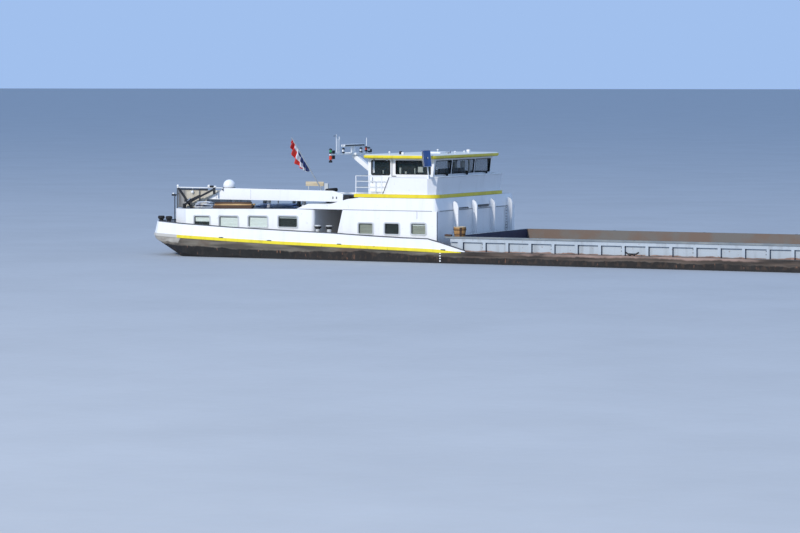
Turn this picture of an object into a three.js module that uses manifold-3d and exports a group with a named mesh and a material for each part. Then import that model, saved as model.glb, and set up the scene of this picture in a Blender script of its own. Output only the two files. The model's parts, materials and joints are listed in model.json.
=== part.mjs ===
// River motor barge with an open hold, as a 1:10 scale model.
// It is drawn in metres of the full-size ship: X forward from the transom, Y to port, Z up from the waterline.
// The last step turns that into millimetres of the model, origin under the middle of the flat bottom.
import * as THREE from 'three';
import { mergeVertices } from 'three/addons/utils/BufferGeometryUtils.js';
import Module from 'manifold-3d';

const wasm = await Module();
wasm.setup();

// Driving dimensions, in metres of the ship
const LENGTH = 110;
const DRAUGHT = 3.10;
const MODEL_MM = 100;
const HALF_BEAM = 5.695;
const GUNWALE = 0.63;
const GAP = 0.003;
const HOLD_AFT = 18.75;
const HOLD_FORE = 99.25;
const LAP = 0.09;
const HOLD_HALF = 5.04;
const BOTTOM_TOP = -2.55;
const BILGE = 0.5;
const COAMING_FACE = 5.12;
const COAMING_TOP = 1.43;
const CAP_UNDER = 1.34;
const CAP_OUT = 5.32;
const BAND_UNDER = 1.14;
const POST = { out: 5.26, first: 19.50, firstWide: 0.30, pitch: 1.335, wide: 0.17 };
const PLATE = 0.06;
const WALL = 0.10;
const HOUSE_HALF = 5.12;
const KNUCKLE = 2.76;
const FORE_ROOF = 3.43;
const FORE_FRONT = 17.9;
const BRIDGE_DECK = [3.433, 3.62];
const CABIN_HALF = 3.80;
const CABIN_AFT = 13.12;
const CABIN_TOP = 5.55;
const SILL = 4.68;
const HEAD = 5.45;
const LIFT = { x: 15.4, half: 0.5, clear: 0.56, foot: -2.0 };
const SHAFT_Z = -2.05;
const CEILING = -0.66;
const PROP = { x: 5.4, radius: 0.85, boss: 0.2 };
const RUDDER = { stock: 3.7, y: 0.75, ahead: 0.4, behind: 1.05, top: -0.80, foot: -2.95 };

// Sheer of the stern: x, top of the bulwark, deck edge
const SHEER = [
  [0.00, 1.90, 1.20],
  [0.30, 1.89, 1.19],
  [2.40, 1.82, 1.14],
  [5.50, 1.68, 1.02],
  [8.60, 1.58, 0.92],
  [11.7, 1.49, 0.85],
  [13.9, 1.39, 0.80],
  [16.0, 1.32, 0.75],
  [17.6, 1.29, 0.71],
  [18.3, 1.12, 0.68],
  [19.8, 0.70, 0.63],
];

const WHITE = 0xf2f2ee;
const YELLOW = 0xe8d332;
const DARK_HULL = 0x2b2624;
const GREY = 0x9fb0bd;
const BLACK = 0x1c1d20;
const CREAM = 0xcbbfa9;
const STEEL = 0x8b9095;

const group = new THREE.Group();

// Basic helpers

function interpolate(rows, x, column) {
  const last = rows.length - 1;
  const found = rows.findIndex((row) => row[0] > x);
  const i = found === -1 ? last : Math.max(found, 1);
  const [a, b] = [rows[i - 1], rows[i]];
  const t = Math.min(Math.max((x - a[0]) / (b[0] - a[0]), 0), 1);
  return a[column] + t * (b[column] - a[column]);
}

const bulwarkTop = (x) => interpolate(SHEER, x, 1);
const deckEdge = (x) => interpolate(SHEER, x, 2);

function box(x, y, z) {
  const size = [x, y, z].map((range) => range[1] - range[0]);
  const middle = [x, y, z].map((range) => (range[0] + range[1]) / 2);
  return new THREE.BoxGeometry(...size).translate(...middle);
}

function outline(points) {
  return new THREE.Shape(points.map(([a, b]) => new THREE.Vector2(a, b)));
}

function extrude(shape, length, steps = 8) {
  return new THREE.ExtrudeGeometry(shape, { depth: length, bevelEnabled: false, curveSegments: steps });
}

// A plan outline of x, y points, raised from z0 to z1
function raise(points, [z0, z1]) {
  return extrude(outline(points), z1 - z0).translate(0, 0, z0);
}

// A side profile of x, z points, spread from y0 to y1
function spread(points, [y0, y1]) {
  return extrude(outline(points), y1 - y0).rotateX(Math.PI / 2).translate(0, y1, 0);
}

// A cross section of y, z points, run from x0 to x1
const CROSS_TO_WORLD = new THREE.Matrix4().set(0, 0, 1, 0, 1, 0, 0, 0, 0, 1, 0, 0, 0, 0, 0, 1);
function run(points, [x0, x1]) {
  return extrude(outline(points), x1 - x0).applyMatrix4(CROSS_TO_WORLD).translate(x0, 0, 0);
}

function rod(from, to, radius, sides = 8, radiusTo = radius) {
  const a = new THREE.Vector3(...from);
  const b = new THREE.Vector3(...to);
  const along = b.clone().sub(a);
  const shape = new THREE.CylinderGeometry(radiusTo, radius, along.length(), sides);
  const turn = new THREE.Quaternion().setFromUnitVectors(new THREE.Vector3(0, 1, 0), along.normalize());
  return shape.applyQuaternion(turn).translate(...a.add(b).multiplyScalar(0.5));
}

// A beam of rectangular section between two points in a plane of constant y
function beam([x0, z0], [x1, z1], [y0, y1], depth) {
  const length = Math.hypot(x1 - x0, z1 - z0);
  const [nx, nz] = [-(z1 - z0) / length * depth / 2, (x1 - x0) / length * depth / 2];
  return spread([[x0 - nx, z0 - nz], [x1 - nx, z1 - nz], [x1 + nx, z1 + nz], [x0 + nx, z0 + nz]], [y0, y1]);
}

// Closed skin over rings that hold the same number of points
function loft(rings) {
  const size = rings[0].length;
  const faces = [];
  for (let i = 0; i + 1 < rings.length; i++) {
    for (let j = 0; j < size; j++) {
      const k = (j + 1) % size;
      const [a, b] = [i * size + j, i * size + k];
      const [c, d] = [a + size, b + size];
      faces.push(a, b, d, a, d, c);
    }
  }
  const end = (rings.length - 1) * size;
  for (let j = 1; j + 1 < size; j++) {
    faces.push(0, j + 1, j, end, end + j, end + j + 1);
  }
  const shape = new THREE.BufferGeometry();
  shape.setAttribute('position', new THREE.Float32BufferAttribute(rings.flat(2), 3));
  shape.setIndex(signedVolume(rings.flat(), faces) < 0 ? faces.reverse() : faces);
  return shape;
}

function signedVolume(points, faces) {
  let sum = 0;
  for (let i = 0; i < faces.length; i += 3) {
    const [a, b, c] = [0, 1, 2].map((k) => new THREE.Vector3(...points[faces[i + k]]));
    sum += a.dot(b.cross(c));
  }
  return sum;
}

// Inward offset of a convex outline given counter-clockwise
function inset(points, distance) {
  const count = points.length;
  return points.map((point, i) => {
    const before = points[(i + count - 1) % count];
    const after = points[(i + 1) % count];
    return corner(before, point, after, distance);
  });
}

function corner(before, point, after, distance) {
  const [n1, n2] = [leftNormal(before, point), leftNormal(point, after)];
  const share = distance / (1 + n1[0] * n2[0] + n1[1] * n2[1]);
  return [point[0] + (n1[0] + n2[0]) * share, point[1] + (n1[1] + n2[1]) * share];
}

function leftNormal(a, b) {
  const length = Math.hypot(b[0] - a[0], b[1] - a[1]);
  return [-(b[1] - a[1]) / length, (b[0] - a[0]) / length];
}

// An upright wall that follows a path, as thick as given to the left of it
function wallAlong(path, bottom, top, thickness, lean = () => 0) {
  const rings = path.map((point, i) => {
    const before = i > 0 ? path[i - 1] : mirrorPoint(path[i + 1], point);
    const after = i + 1 < path.length ? path[i + 1] : mirrorPoint(path[i - 1], point);
    const side = (distance) => corner(before, point, after, distance);
    const [low, high, slant] = [bottom(...point), top(...point), lean(...point)];
    return [
      [...side(0), low],
      [...side(slant), high],
      [...side(slant + thickness), high],
      [...side(thickness), low],
    ];
  });
  return loft(rings);
}

function mirrorPoint(point, centre) {
  return [2 * centre[0] - point[0], 2 * centre[1] - point[1]];
}

// Booleans

function solid(geometry) {
  const bare = geometry.clone();
  for (const name of ['normal', 'uv']) bare.deleteAttribute(name);
  const merged = mergeVertices(bare, 1e-5);
  return new wasm.Manifold(new wasm.Mesh({
    numProp: 3,
    vertProperties: new Float32Array(merged.attributes.position.array),
    triVerts: new Uint32Array(merged.index.array),
  }));
}

function surface(manifold) {
  const mesh = manifold.getMesh();
  const geometry = new THREE.BufferGeometry();
  geometry.setAttribute('position', new THREE.BufferAttribute(new Float32Array(mesh.vertProperties), 3));
  geometry.setIndex(new THREE.BufferAttribute(new Uint32Array(mesh.triVerts), 1));
  return geometry;
}

function join(...shapes) {
  return surface(shapes.map(solid).reduce((sum, next) => sum.add(next)));
}

function cut(shape, ...tools) {
  return surface(tools.map(solid).reduce((rest, tool) => rest.subtract(tool), solid(shape)));
}

function common(a, b) {
  return surface(solid(a).intersect(solid(b)));
}

function mirrored(geometry) {
  const copy = geometry.index ? geometry.clone() : mergeVertices(geometry.clone());
  copy.scale(1, -1, 1);
  copy.setIndex(Array.from(copy.index.array).reverse());
  return copy;
}

function add(name, geometry, color, roughness = 0.5, metalness = 0) {
  const shape = geometry.clone().translate(-LENGTH / 2, 0, DRAUGHT).scale(MODEL_MM, MODEL_MM, MODEL_MM);
  shape.deleteAttribute('normal');
  const flat = shape.index ? shape.toNonIndexed() : shape;
  flat.computeVertexNormals();
  const mesh = new THREE.Mesh(flat, new THREE.MeshStandardMaterial({ color, roughness, metalness }));
  mesh.name = name;
  group.add(mesh);
}

// The starboard piece has negative y, and its twin is its mirror image
function addPair(name, geometry, color, roughness, metalness) {
  add(`${name}_starboard`, geometry, color, roughness, metalness);
  add(`${name}_port`, mirrored(geometry), color, roughness, metalness);
}

// Hull

const BILGE_STEPS = 5;

// A closed cross section: deck, straight sides and an elliptic bilge
function hullSection([x, deckHalf, deckZ, half, keelZ, bilgeY, bilgeZ]) {
  const right = [[deckHalf, deckZ]];
  for (let i = 0; i <= BILGE_STEPS; i++) {
    const angle = (i / BILGE_STEPS) * Math.PI / 2;
    right.push([half - bilgeY * (1 - Math.cos(angle)), keelZ + bilgeZ * (1 - Math.sin(angle))]);
  }
  const left = right.map(([y, z]) => [-y, z]);
  return [...left, ...right.reverse()].map(([y, z]) => [x, y, z]);
}

// Stern: x, half breadth at the deck, half breadth, keel, bilge across, bilge up
const STERN = [
  [0.00, 4.55, 4.50, 0.87, 0.50, 0.10],
  [0.30, 4.85, 4.80, 0.75, 0.80, 0.15],
  [2.40, 5.695, 5.69, -0.30, 1.60, 0.50],
  [4.00, 5.695, 5.695, CEILING, 1.60, 0.70],
  [6.00, 5.695, 5.695, CEILING, 1.50, 0.80],
  [8.60, 5.695, 5.695, -1.60, 2.20, 1.20],
  [11.7, 5.695, 5.695, -2.85, 1.60, 1.30],
  [13.9, 5.695, 5.695, -3.10, 0.80, 0.80],
  [16.0, 5.695, 5.695, -3.10, BILGE, BILGE],
  [HOLD_AFT - LAP, 5.695, 5.695, -3.10, BILGE, BILGE],
];

function sternHull() {
  const stations = [...STERN, ...SHEER.slice(8, 10).map((row) => [row[0], ...STERN.at(-1).slice(1)])];
  stations.sort((a, b) => a[0] - b[0]);
  const rows = stations
    .map(([x, deckHalf, half, keel, across, up]) => [x, deckHalf, deckEdge(x), half, keel, across, up]);
  const body = loft(rows.map(hullSection));
  const skegPlan = [[6.4, 0], [7.2, -0.28], [11.5, -0.45], [13, -0.3], [13, 0.3], [11.5, 0.45], [7.2, 0.28]];
  const skeg = raise(skegPlan, [-3.08, -1.0]);
  const boss = rod([6.0, 0, SHAFT_Z], [8.5, 0, SHAFT_Z], 0.24, 16);
  const rudderHorn = rod([RUDDER.stock, 0, RUDDER.top + 0.1], [RUDDER.stock, 0, 0.5], 0.14, 8);
  const engineRoom = box([12.5, 17.3], [-4.0, 4.0], [-2.6, 2]);
  const starboardHorn = rudderHorn.clone().translate(0, -RUDDER.y, 0);
  const portHorn = rudderHorn.clone().translate(0, RUDDER.y, 0);
  return join(cut(join(body, skeg, boss), engineRoom), starboardHorn, portHorn, ...bollards(STERN_BOLLARDS));
}

// The stern hull is two blocks that meet at the bulkhead before the engine room
const BULKHEAD = 12.4;

function sternBlock([x0, x1]) {
  return common(sternHull(), box([x0, x1], [-6, 6], [-4, 3]));
}

// Two bollards on one base plate beside the passage
const BOLLARD_PLATE = { past: 0.23, half: 0.17, thick: 0.05 };
const BOLLARD_SUNK = 0.1;

function passageBollards() {
  const { past, half, thick } = BOLLARD_PLATE;
  const [first, last] = [PASSAGE_BOLLARDS[0][0] - past, PASSAGE_BOLLARDS[1][0] + past];
  const y = -PASSAGE_BOLLARDS[0][1];
  const [low, high] = [onDeck(first), onDeck(last)];
  const plate = spread([[first, low], [last, high], [last, high + thick], [first, low + thick]], [y - half, y + half]);
  const foot = BOLLARD_SUNK + thick - 0.02;
  return join(plate, ...PASSAGE_BOLLARDS.map(([x, reach, deck, top]) => bollard(x, -reach, deck + foot, top)));
}

// A bollard post with a wide cap, standing on the deck
function bollard(x, y, deck, top) {
  const foot = deck - BOLLARD_SUNK;
  const profile = [
    [0, foot], [0.12, foot], [0.12, top - 0.2], [0.19, top - 0.14], [0.19, top - 0.05], [0.15, top], [0, top],
  ];
  return new THREE
    .LatheGeometry(profile.map(([r, z]) => new THREE.Vector2(r, z)), 12)
    .rotateX(Math.PI / 2)
    .translate(x, y, 0);
}

// Bollards of one side: x, distance from the middle, deck, top
const STERN_BOLLARDS = [
  [0.34, 4.40, 1.19, 2.19],
  [1.02, 4.72, 1.16, 2.19],
];
const PASSAGE_BOLLARDS = [
  [10.81, 5.40, 0.87, 1.90],
  [11.50, 5.40, 0.85, 1.90],
];
const BOW_BOLLARDS = [
  [102.82, 4.60, 1.75, 2.25],
  [103.58, 4.60, 1.75, 2.25],
];

function bollards(rows) {
  return [-1, 1].flatMap((side) => rows.map(([x, y, deck, top]) => bollard(x, side * y, deck, top)));
}

// The blocks beside and under the hold reach past the coaming's ends, up to the stern and bow blocks
const HOLD_REACH = [HOLD_AFT - LAP + GAP, HOLD_FORE + LAP - GAP];

function wing() {
  const profile = [[-HALF_BEAM, GUNWALE]];
  for (let i = 0; i <= BILGE_STEPS; i++) {
    const angle = (i / BILGE_STEPS) * Math.PI / 2;
    profile.push([-HALF_BEAM + BILGE * (1 - Math.cos(angle)), -DRAUGHT + BILGE * (1 - Math.sin(angle))]);
  }
  profile.push([-HOLD_HALF, -DRAUGHT], [-HOLD_HALF, GUNWALE]);
  return run(profile, HOLD_REACH);
}

function bottom() {
  const inside = HOLD_HALF - GAP;
  return box(HOLD_REACH, [-inside, inside], [-DRAUGHT, BOTTOM_TOP]);
}

const FORE_DECK = 1.75;

// Bow: x, half breadth at the deck, half breadth, keel, bilge across, bilge up
const BOW = [
  [HOLD_FORE + LAP, 5.695, 5.695, -3.10, BILGE, BILGE],
  [101.5, 5.695, 5.69, -3.10, 0.6, 0.6],
  [104.0, 5.62, 5.45, -3.10, 1.2, 1.2],
  [106.2, 5.25, 4.85, -2.95, 2.0, 1.9],
  [107.8, 4.60, 3.90, -2.55, 2.4, 2.1],
  [109.0, 3.70, 2.60, -1.75, 2.0, 1.9],
  [109.6, 2.70, 1.30, -0.70, 1.1, 1.4],
  [109.82, 1.60, 0.60, 0.30, 0.5, 0.9],
];
const BOW_FLARE = 0.0312;

function bowHull() {
  const rows = BOW.map(([x, deckHalf, half, keel, across, up]) => [x, deckHalf, FORE_DECK, half, keel, across, up]);
  const body = loft(rows.map(hullSection));
  const step = box([98, 100.6], [-6, 6], [GUNWALE, 3]);
  const forepeak = box([101.0, 104.5], [-1.2, 1.2], [-1.8, 2]);
  const hawses = [hawsePlate(), mirrored(hawsePlate())];
  return join(cut(body, step, forepeak), foremastStep(), ...hawses, ...bollards(BOW_BOLLARDS));
}

// Hold coaming

// Cap, a band under it, and posts from the band to the gunwale with recessed panels between them
function sideCoaming() {
  const low = GUNWALE + GAP;
  const profile = [
    [-COAMING_FACE, low], [-HOLD_HALF, low], [-HOLD_HALF, COAMING_TOP], [-CAP_OUT, COAMING_TOP],
    [-CAP_OUT, CAP_UNDER], [-POST.out, CAP_UNDER], [-POST.out, BAND_UNDER], [-COAMING_FACE, BAND_UNDER],
  ];
  const wall = run(profile, [HOLD_AFT, HOLD_FORE]);
  const posts = [];
  for (let fore = POST.first; fore < HOLD_FORE - POST.wide; fore += POST.pitch) {
    const wide = fore === POST.first ? POST.firstWide : POST.wide;
    posts.push(box([fore - wide, fore], [-POST.out, -COAMING_FACE + 0.01], [low, BAND_UNDER + 0.01]));
  }
  return join(wall, ...posts);
}

function endCoaming(face, outward) {
  const half = HOLD_HALF - GAP;
  const low = GUNWALE + GAP + (outward < 0 ? 0.06 : 0);
  const profile = [
    [face, low], [face + outward * 0.08, low], [face + outward * 0.08, CAP_UNDER],
    [face + outward * 0.25, CAP_UNDER], [face + outward * 0.25, COAMING_TOP], [face, COAMING_TOP],
  ];
  return spread(outward > 0 ? profile : profile.reverse(), [-half, half]);
}

// Stern bulwark and rubbing strake

const SIDE_STATIONS = SHEER.map((row) => row[0]).filter((x) => x > 2.4);

// Deck edge from the middle of the transom along the starboard side, then its port twin
function sternPath(first, last) {
  const aft = [[0.0, 0], [0.0, -4.55], [0.30, -4.85], [2.40, -HALF_BEAM]];
  const side = SIDE_STATIONS.map((x) => [x, -HALF_BEAM]);
  return [...aft, ...side].slice(first, last);
}

const sternLean = (x) => 0.14 * Math.max(0, 1 - x / 8);
const onDeck = (x) => deckEdge(x) + GAP;

// Both sides of a starboard path, from the port end round the stern
function bothSides(half) {
  return [...half.map(([x, y]) => [x, -y]).reverse(), ...half];
}

function aftBulwark() {
  return wallAlong(bothSides(sternPath(1)), onDeck, bulwarkTop, PLATE, sternLean);
}

function strake() {
  const half = sternPath(1);
  half[half.length - 1] = [19.6, -HALF_BEAM];
  const path = bothSides(half);
  const shrink = (x) => 0.09 * Math.min(1, Math.max(0.1, (19.8 - x) / 1.2));
  const out = 0.03;
  const rings = path.map((point, i) => {
    const before = i > 0 ? path[i - 1] : mirrorPoint(path[1], point);
    const after = i + 1 < path.length ? path[i + 1] : mirrorPoint(path[i - 1], point);
    const inner = corner(before, point, after, -GAP);
    const outer = corner(before, point, after, -GAP - out);
    const middle = deckEdge(point[0]) - 0.04;
    const tall = shrink(point[0]);
    const flat = tall * 0.8;
    return [[...inner, middle - tall], [...outer, middle - flat], [...outer, middle + flat], [...inner, middle + tall]];
  });
  return loft(rings);
}

// Deckhouses

function arcPoints(cx, cy, radius, from, to, steps) {
  return Array.from({ length: steps + 1 }, (_, i) => {
    const angle = THREE.MathUtils.degToRad(from + (to - from) * i / steps);
    return [cx + radius * Math.cos(angle), cy + radius * Math.sin(angle)];
  });
}

const AFT_HOUSE = { aft: 1.27, nose: 0.22, corner: 10.18, bevelHalf: 4.35, bevelTo: 2.35 };

function aftHousePlan() {
  const r = AFT_HOUSE.nose;
  const low = HOUSE_HALF - r;
  return [
    [AFT_HOUSE.aft, -AFT_HOUSE.bevelHalf],
    [AFT_HOUSE.bevelTo, -HOUSE_HALF],
    ...arcPoints(AFT_HOUSE.corner, -low, r, -90, 0, 6),
    ...arcPoints(AFT_HOUSE.corner, low, r, 0, 90, 6),
    [AFT_HOUSE.bevelTo, HOUSE_HALF],
    [AFT_HOUSE.aft, AFT_HOUSE.bevelHalf],
  ];
}

// Side profile that stands on the sheer of the deck
function onSheer(x0, x1, upper) {
  const inner = SHEER.map((row) => row[0]).filter((x) => x > x0 && x < x1);
  const lower = [x0, ...inner, x1].map((x) => [x, onDeck(x)]);
  return [...lower, ...upper];
}

// Aft cabin windows: aft edge, fore edge, sill, head
const AFT_WINDOWS = [
  [2.85, 3.90, 1.62, 2.28],
  [4.45, 5.70, 1.64, 2.30],
  [6.30, 7.55, 1.67, 2.33],
  [8.18, 9.42, 1.70, 2.36],
];
const FORE_WINDOWS = [
  [13.13, 14.06, 1.42, 2.07],
  [14.72, 15.65, 1.44, 2.09],
  [16.32, 17.25, 1.46, 2.11],
];
const WINDOW_ROUND = 0.08;

function windowTool([x0, x1, z0, z1]) {
  const r = WINDOW_ROUND;
  const shape = new THREE.Shape();
  shape.moveTo(x0 + r, z0).lineTo(x1 - r, z0).quadraticCurveTo(x1, z0, x1, z0 + r);
  shape.lineTo(x1, z1 - r).quadraticCurveTo(x1, z1, x1 - r, z1);
  shape.lineTo(x0 + r, z1).quadraticCurveTo(x0, z1, x0, z1 - r);
  shape.lineTo(x0, z0 + r).quadraticCurveTo(x0, z0, x0 + r, z0);
  return extrude(shape, 12, 2).rotateX(Math.PI / 2).translate(0, 6, 0);
}

const AFT_DOOR = { y: [-0.42, 0.42], z: [1.30, 2.50] };

function aftHouse() {
  const { aft, corner: cornerX, nose } = AFT_HOUSE;
  const fore = cornerX + nose;
  const upper = [[fore, 2.72], [9.3, aftRoof(9.3)], [aft, aftRoof(aft)]];
  const inside = [[aft + 0.05, 0.5], [fore - 0.05, 0.5], [fore - 0.05, 2.62], [9.3, aftRoof(9.3) - WALL],
    [aft + 0.05, aftRoof(aft) - WALL]];
  const outer = common(spread(onSheer(aft, fore, upper), [-6, 6]), raise(aftHousePlan(), [0, 4]));
  const inner = common(spread(inside, [-6, 6]), raise(inset(aftHousePlan(), WALL), [0, 4]));
  const door = box([0.8, 1.8], AFT_DOOR.y, AFT_DOOR.z);
  const aftWindows = [-1, 1].map((side) => box([0.8, 1.8], [side * 2.3 - 0.6, side * 2.3 + 0.6], [1.65, 2.25]));
  return cut(outer, inner, door, ...aftWindows, ...AFT_WINDOWS.map(windowTool));
}

// Top of the aft cabin roof, which follows the sheer a little
const aftRoof = (x) => 2.62 + (Math.min(x, 9.3) - AFT_HOUSE.aft) * 0.015;

const FORE_AFT = [11.72, 12.19];
const PASSAGE_DOOR = { y: [-4.75, -4.05], z: [0.95, 2.55] };

function foreHouseWalls() {
  const top = KNUCKLE - GAP;
  const [footX, headX] = FORE_AFT;
  const upper = [[FORE_FRONT, top], [headX, top]];
  const outer = spread(onSheer(footX, FORE_FRONT, upper), [-HOUSE_HALF, HOUSE_HALF]);
  const half = HOUSE_HALF - WALL;
  const inner = spread([[footX + WALL, 0], [FORE_FRONT - WALL, 0], [FORE_FRONT - WALL, 3], [headX + WALL, 3],
    [headX + WALL, 2.72]], [-half, half]);
  const doors = [PASSAGE_DOOR.y, PASSAGE_DOOR.y.map((y) => -y).reverse()]
    .map((y) => box([11.4, 12.8], y, PASSAGE_DOOR.z));
  const shell = cut(outer, inner, ...doors, ...FORE_WINDOWS.map(windowTool));
  return join(shell, ...passageRails(), ...FRONT_RIBS.map(frontRib));
}

const FRONT_RIBS = [-3.0, -0.55, 1.85, 4.2];

function frontRib(y) {
  const front = FORE_FRONT;
  const foot = deckEdge(front + 0.3) + 0.02;
  const profile = [
    [front - 0.05, foot], [front + 0.3, foot], [front + 0.3, 2.95], [front + 0.22, 3.15], [front + 0.08, 3.25],
    [front + GAP, 3.2], [front + GAP, KNUCKLE - 0.01], [front - 0.05, KNUCKLE - 0.01],
  ];
  return spread(profile, [y - 0.06, y + 0.06]);
}

function foreHouseRoof() {
  const outerProfile = [
    [9.34, KNUCKLE], [FORE_FRONT, KNUCKLE], [FORE_FRONT - 0.14, FORE_ROOF], [13.2, FORE_ROOF - 0.01],
    [12.5, 3.34], [11.41, 3.05], [10.06, 3.04],
  ];
  const room = spread([[12.5, 2], [17.75, 2], [17.66, 3.33], [12.7, 3.24]], [-HOUSE_HALF + WALL, HOUSE_HALF - WALL]);
  const { x, clear } = LIFT;
  const trunk = box([x - clear, x + clear], [-clear, clear], [3, 4]);
  const round = 0.32;
  const plan = [
    [9, -HOUSE_HALF],
    ...arcPoints(FORE_FRONT - round, -HOUSE_HALF + round, round, -90, 0, 5),
    ...arcPoints(FORE_FRONT - round, HOUSE_HALF - round, round, 0, 90, 5),
    [9, HOUSE_HALF],
  ];
  const block = common(spread(outerProfile, [-HOUSE_HALF, HOUSE_HALF]), raise(plan, [2, 4]));
  return cut(block, room, trunk);
}

// Raised platform over the aft cabin, with side panels and a slanted aft end
const PLATFORM_HALF = 4.1;
const PANEL_HALF = 0.05;
const PLATFORM_DECK = [3.16, 3.26];

function platform() {
  const panel = [[3.2, 3.16], [11.7, 3.14], [11.72, 3.58], [11.1, 3.74], [4.28, 3.80]];
  const curb = [[3.45, 3.16], [11.7, 3.14], [11.7, 3.36], [3.6, 3.36]];
  const sides = [[panel, -PLATFORM_HALF], [curb, PLATFORM_HALF]]
    .map(([profile, y]) => spread(profile, [y - PANEL_HALF, y + PANEL_HALF]));
  const deck = box([3.5, 11.69], [-PLATFORM_HALF, PLATFORM_HALF], PLATFORM_DECK);
  const legs = [];
  for (const [x, seat] of [[4.6, aftRoof(4.68)], [6.8, aftRoof(6.88)], [9.0, aftRoof(9.08)], [10.8, 3.05]]) {
    for (const y of [-3.6, 0, 3.6]) legs.push(box([x - 0.08, x + 0.08], [y - 0.08, y + 0.08], [seat + GAP, 3.2]));
  }
  return join(deck, ...sides, ...legs);
}

function dome() {
  const [centre, radius] = [0.635, 0.345];
  const points = [[0, 0], [0.17, 0], [0.17, centre - 0.29], ...arcPoints(0, centre, radius, -50, 90, 9)];
  points[points.length - 1][0] = 0;
  return new THREE.LatheGeometry(points.map(([r, z]) => new THREE.Vector2(r, z)), 20)
    .rotateX(Math.PI / 2)
    .translate(3.95, -3.0, PLATFORM_DECK[1] + GAP);
}

// Terrace on the aft roof: a high rail to starboard, a lower one aft and to port, and the cloth screen laced inside
const TERRACE = {
  side: [[4.2, -4.24], [2.75, -4.27], [1.33, -4.30]],
  aft: [[1.33, -4.30], [1.33, -1.4], [1.33, 1.4], [1.33, 4.30], [3.2, 4.24]],
  high: 3.80,
  low: 3.45,
  post: 0.035,
};

function railOn(path, posted, z) {
  const posts = posted.map(([x, y]) => rod([x, y, aftRoof(x) + GAP], [x, y, z + 0.03], TERRACE.post, 6));
  const rails = path.slice(1).map((point, i) => rod([...path[i], z], [...point, z], 0.03, 6));
  return [...posts, ...rails];
}

// The high rail ends on a bracket at the platform's side panel
function terraceRail() {
  const { side, aft, high, low, post } = TERRACE;
  const [x, y] = side[0];
  const seat = high - 0.1;
  const end = rod([x, y, high], [x, y, seat - post], post, 6);
  const bracket = rod([x, y, seat], [x, -PLATFORM_HALF - PANEL_HALF - GAP, seat], post, 6);
  return join(...railOn(side, side.slice(1), high), ...railOn(aft, aft, low), end, bracket);
}

// Cloth inside the posts, cut away beyond a fore edge that leans forward from the roof to the platform
function terraceCanvas() {
  const { side, aft, high, low, post } = TERRACE;
  const path = [...side, ...aft.slice(1, 4)].reverse();
  const line = path.map((point, i) => {
    const before = i > 0 ? path[i - 1] : mirrorPoint(path[1], point);
    const after = i + 1 < path.length ? path[i + 1] : mirrorPoint(path[i - 1], point);
    return corner(before, point, after, post + GAP);
  });
  const [sideTop, aftTop] = [high - 0.14, low - 0.05];
  const top = (x, y) => (y < -4 ? sideTop : aftTop);
  const beyond = spread([[3.17, 2.6], [6, 2.6], [6, 4], [4.62, 4], [3.17, 3.14]], [-6, -4]);
  return cut(wallAlong(line, (x) => aftRoof(x) + 0.04, top, 0.012), beyond);
}

// Derrick on the starboard side of the terrace: a raked post and a boom on a gooseneck beside it
const DERRICK = { x: 1.95, y: -4.6, foot: aftRoof(2.7) + GAP, pivot: 2.84, tip: [3.87, 3.74] };
const KING_POST = { foot: 2.33, head: [1.45, 3.77], y: [-4.46, -4.36] };

function derrickPost() {
  const { x, y, foot, pivot } = DERRICK;
  const { foot: postFoot, head, y: across } = KING_POST;
  const base = box([x - 0.12, postFoot + 0.12], [y - 0.1, across[1] + 0.02], [foot, foot + 0.03]);
  const post = beam([postFoot, foot], head, across, 0.08);
  const clamp = box([1.88, 2.24], [across[0] - 0.02, across[1] + 0.02], [3.0, 3.14]);
  const seat = rod([x, y, foot], [x, y, pivot - 0.14], 0.09, 12);
  return join(base, cut(post, box([0, 9], [-6, 6], [foot - 1, foot])), clamp, seat);
}

function derrickGooseneck() {
  const { x, y, pivot } = DERRICK;
  const block = rod([x, y, pivot - 0.137], [x, y, pivot - 0.09], 0.09, 12);
  const cheeks = [y - 0.08, y + 0.08]
    .map((at) => box([x - 0.06, x + 0.06], [at - 0.015, at + 0.015], [pivot - 0.11, pivot + 0.07]));
  return join(block, ...cheeks);
}

function derrickBoom() {
  const { x, y, pivot, tip } = DERRICK;
  const at = (t, lift) => [x + (tip[0] - x) * t, pivot + (tip[1] - pivot) * t + lift];
  const eye = rod([x, y - 0.06, pivot], [x, y + 0.06, pivot], 0.05, 12);
  const arm = beam([x, pivot], tip, [y - 0.045, y + 0.045], 0.10);
  const ram = beam(at(0.16, 0.07), at(0.52, 0.05), [y - 0.06, y + 0.06], 0.12);
  const hook = box([tip[0] - 0.05, tip[0] + 0.05], [y - 0.06, y + 0.06], [tip[1] - 0.28, tip[1] + 0.08]);
  return join(eye, arm, ram, hook);
}

// Flagstaff on the platform, leaning aft, and the flag that hangs from it
const STAFF = { foot: [9.3, -1.5, 3.26 + GAP], head: [7.13, -1.5, 6.6] };
const FLAG = { top: 6.5, low: 4.76, edge: [[8.12, 4.68], [7.80, 4.83], [7.36, 5.15], [7.15, 5.72], [7.09, 6.30]] };

function flagstaff() {
  const { foot, head } = STAFF;
  const [x, y, z] = foot;
  const socket = rod([x, y, z], [x - 0.15, y, z + 0.21], 0.07, 10);
  const staff = rod([x + 0.06, y, z - 0.084], head, 0.035);
  return cut(join(staff, socket), box([x - 1, x + 1], [y - 1, y + 1], [z - 1, z]));
}

function flag() {
  const [hx, y, hz] = STAFF.head;
  const slope = (STAFF.foot[0] - hx) / (STAFF.foot[2] - hz);
  const clear = 0.0455;
  const hoist = (z) => [hx + (z - hz) * slope - clear, z];
  return spread([hoist(FLAG.top), ...FLAG.edge.slice().reverse(), hoist(FLAG.low)], [y - 0.006, y + 0.006]);
}

// Doors of the cabins: leaves set in their openings with a running gap

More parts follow.
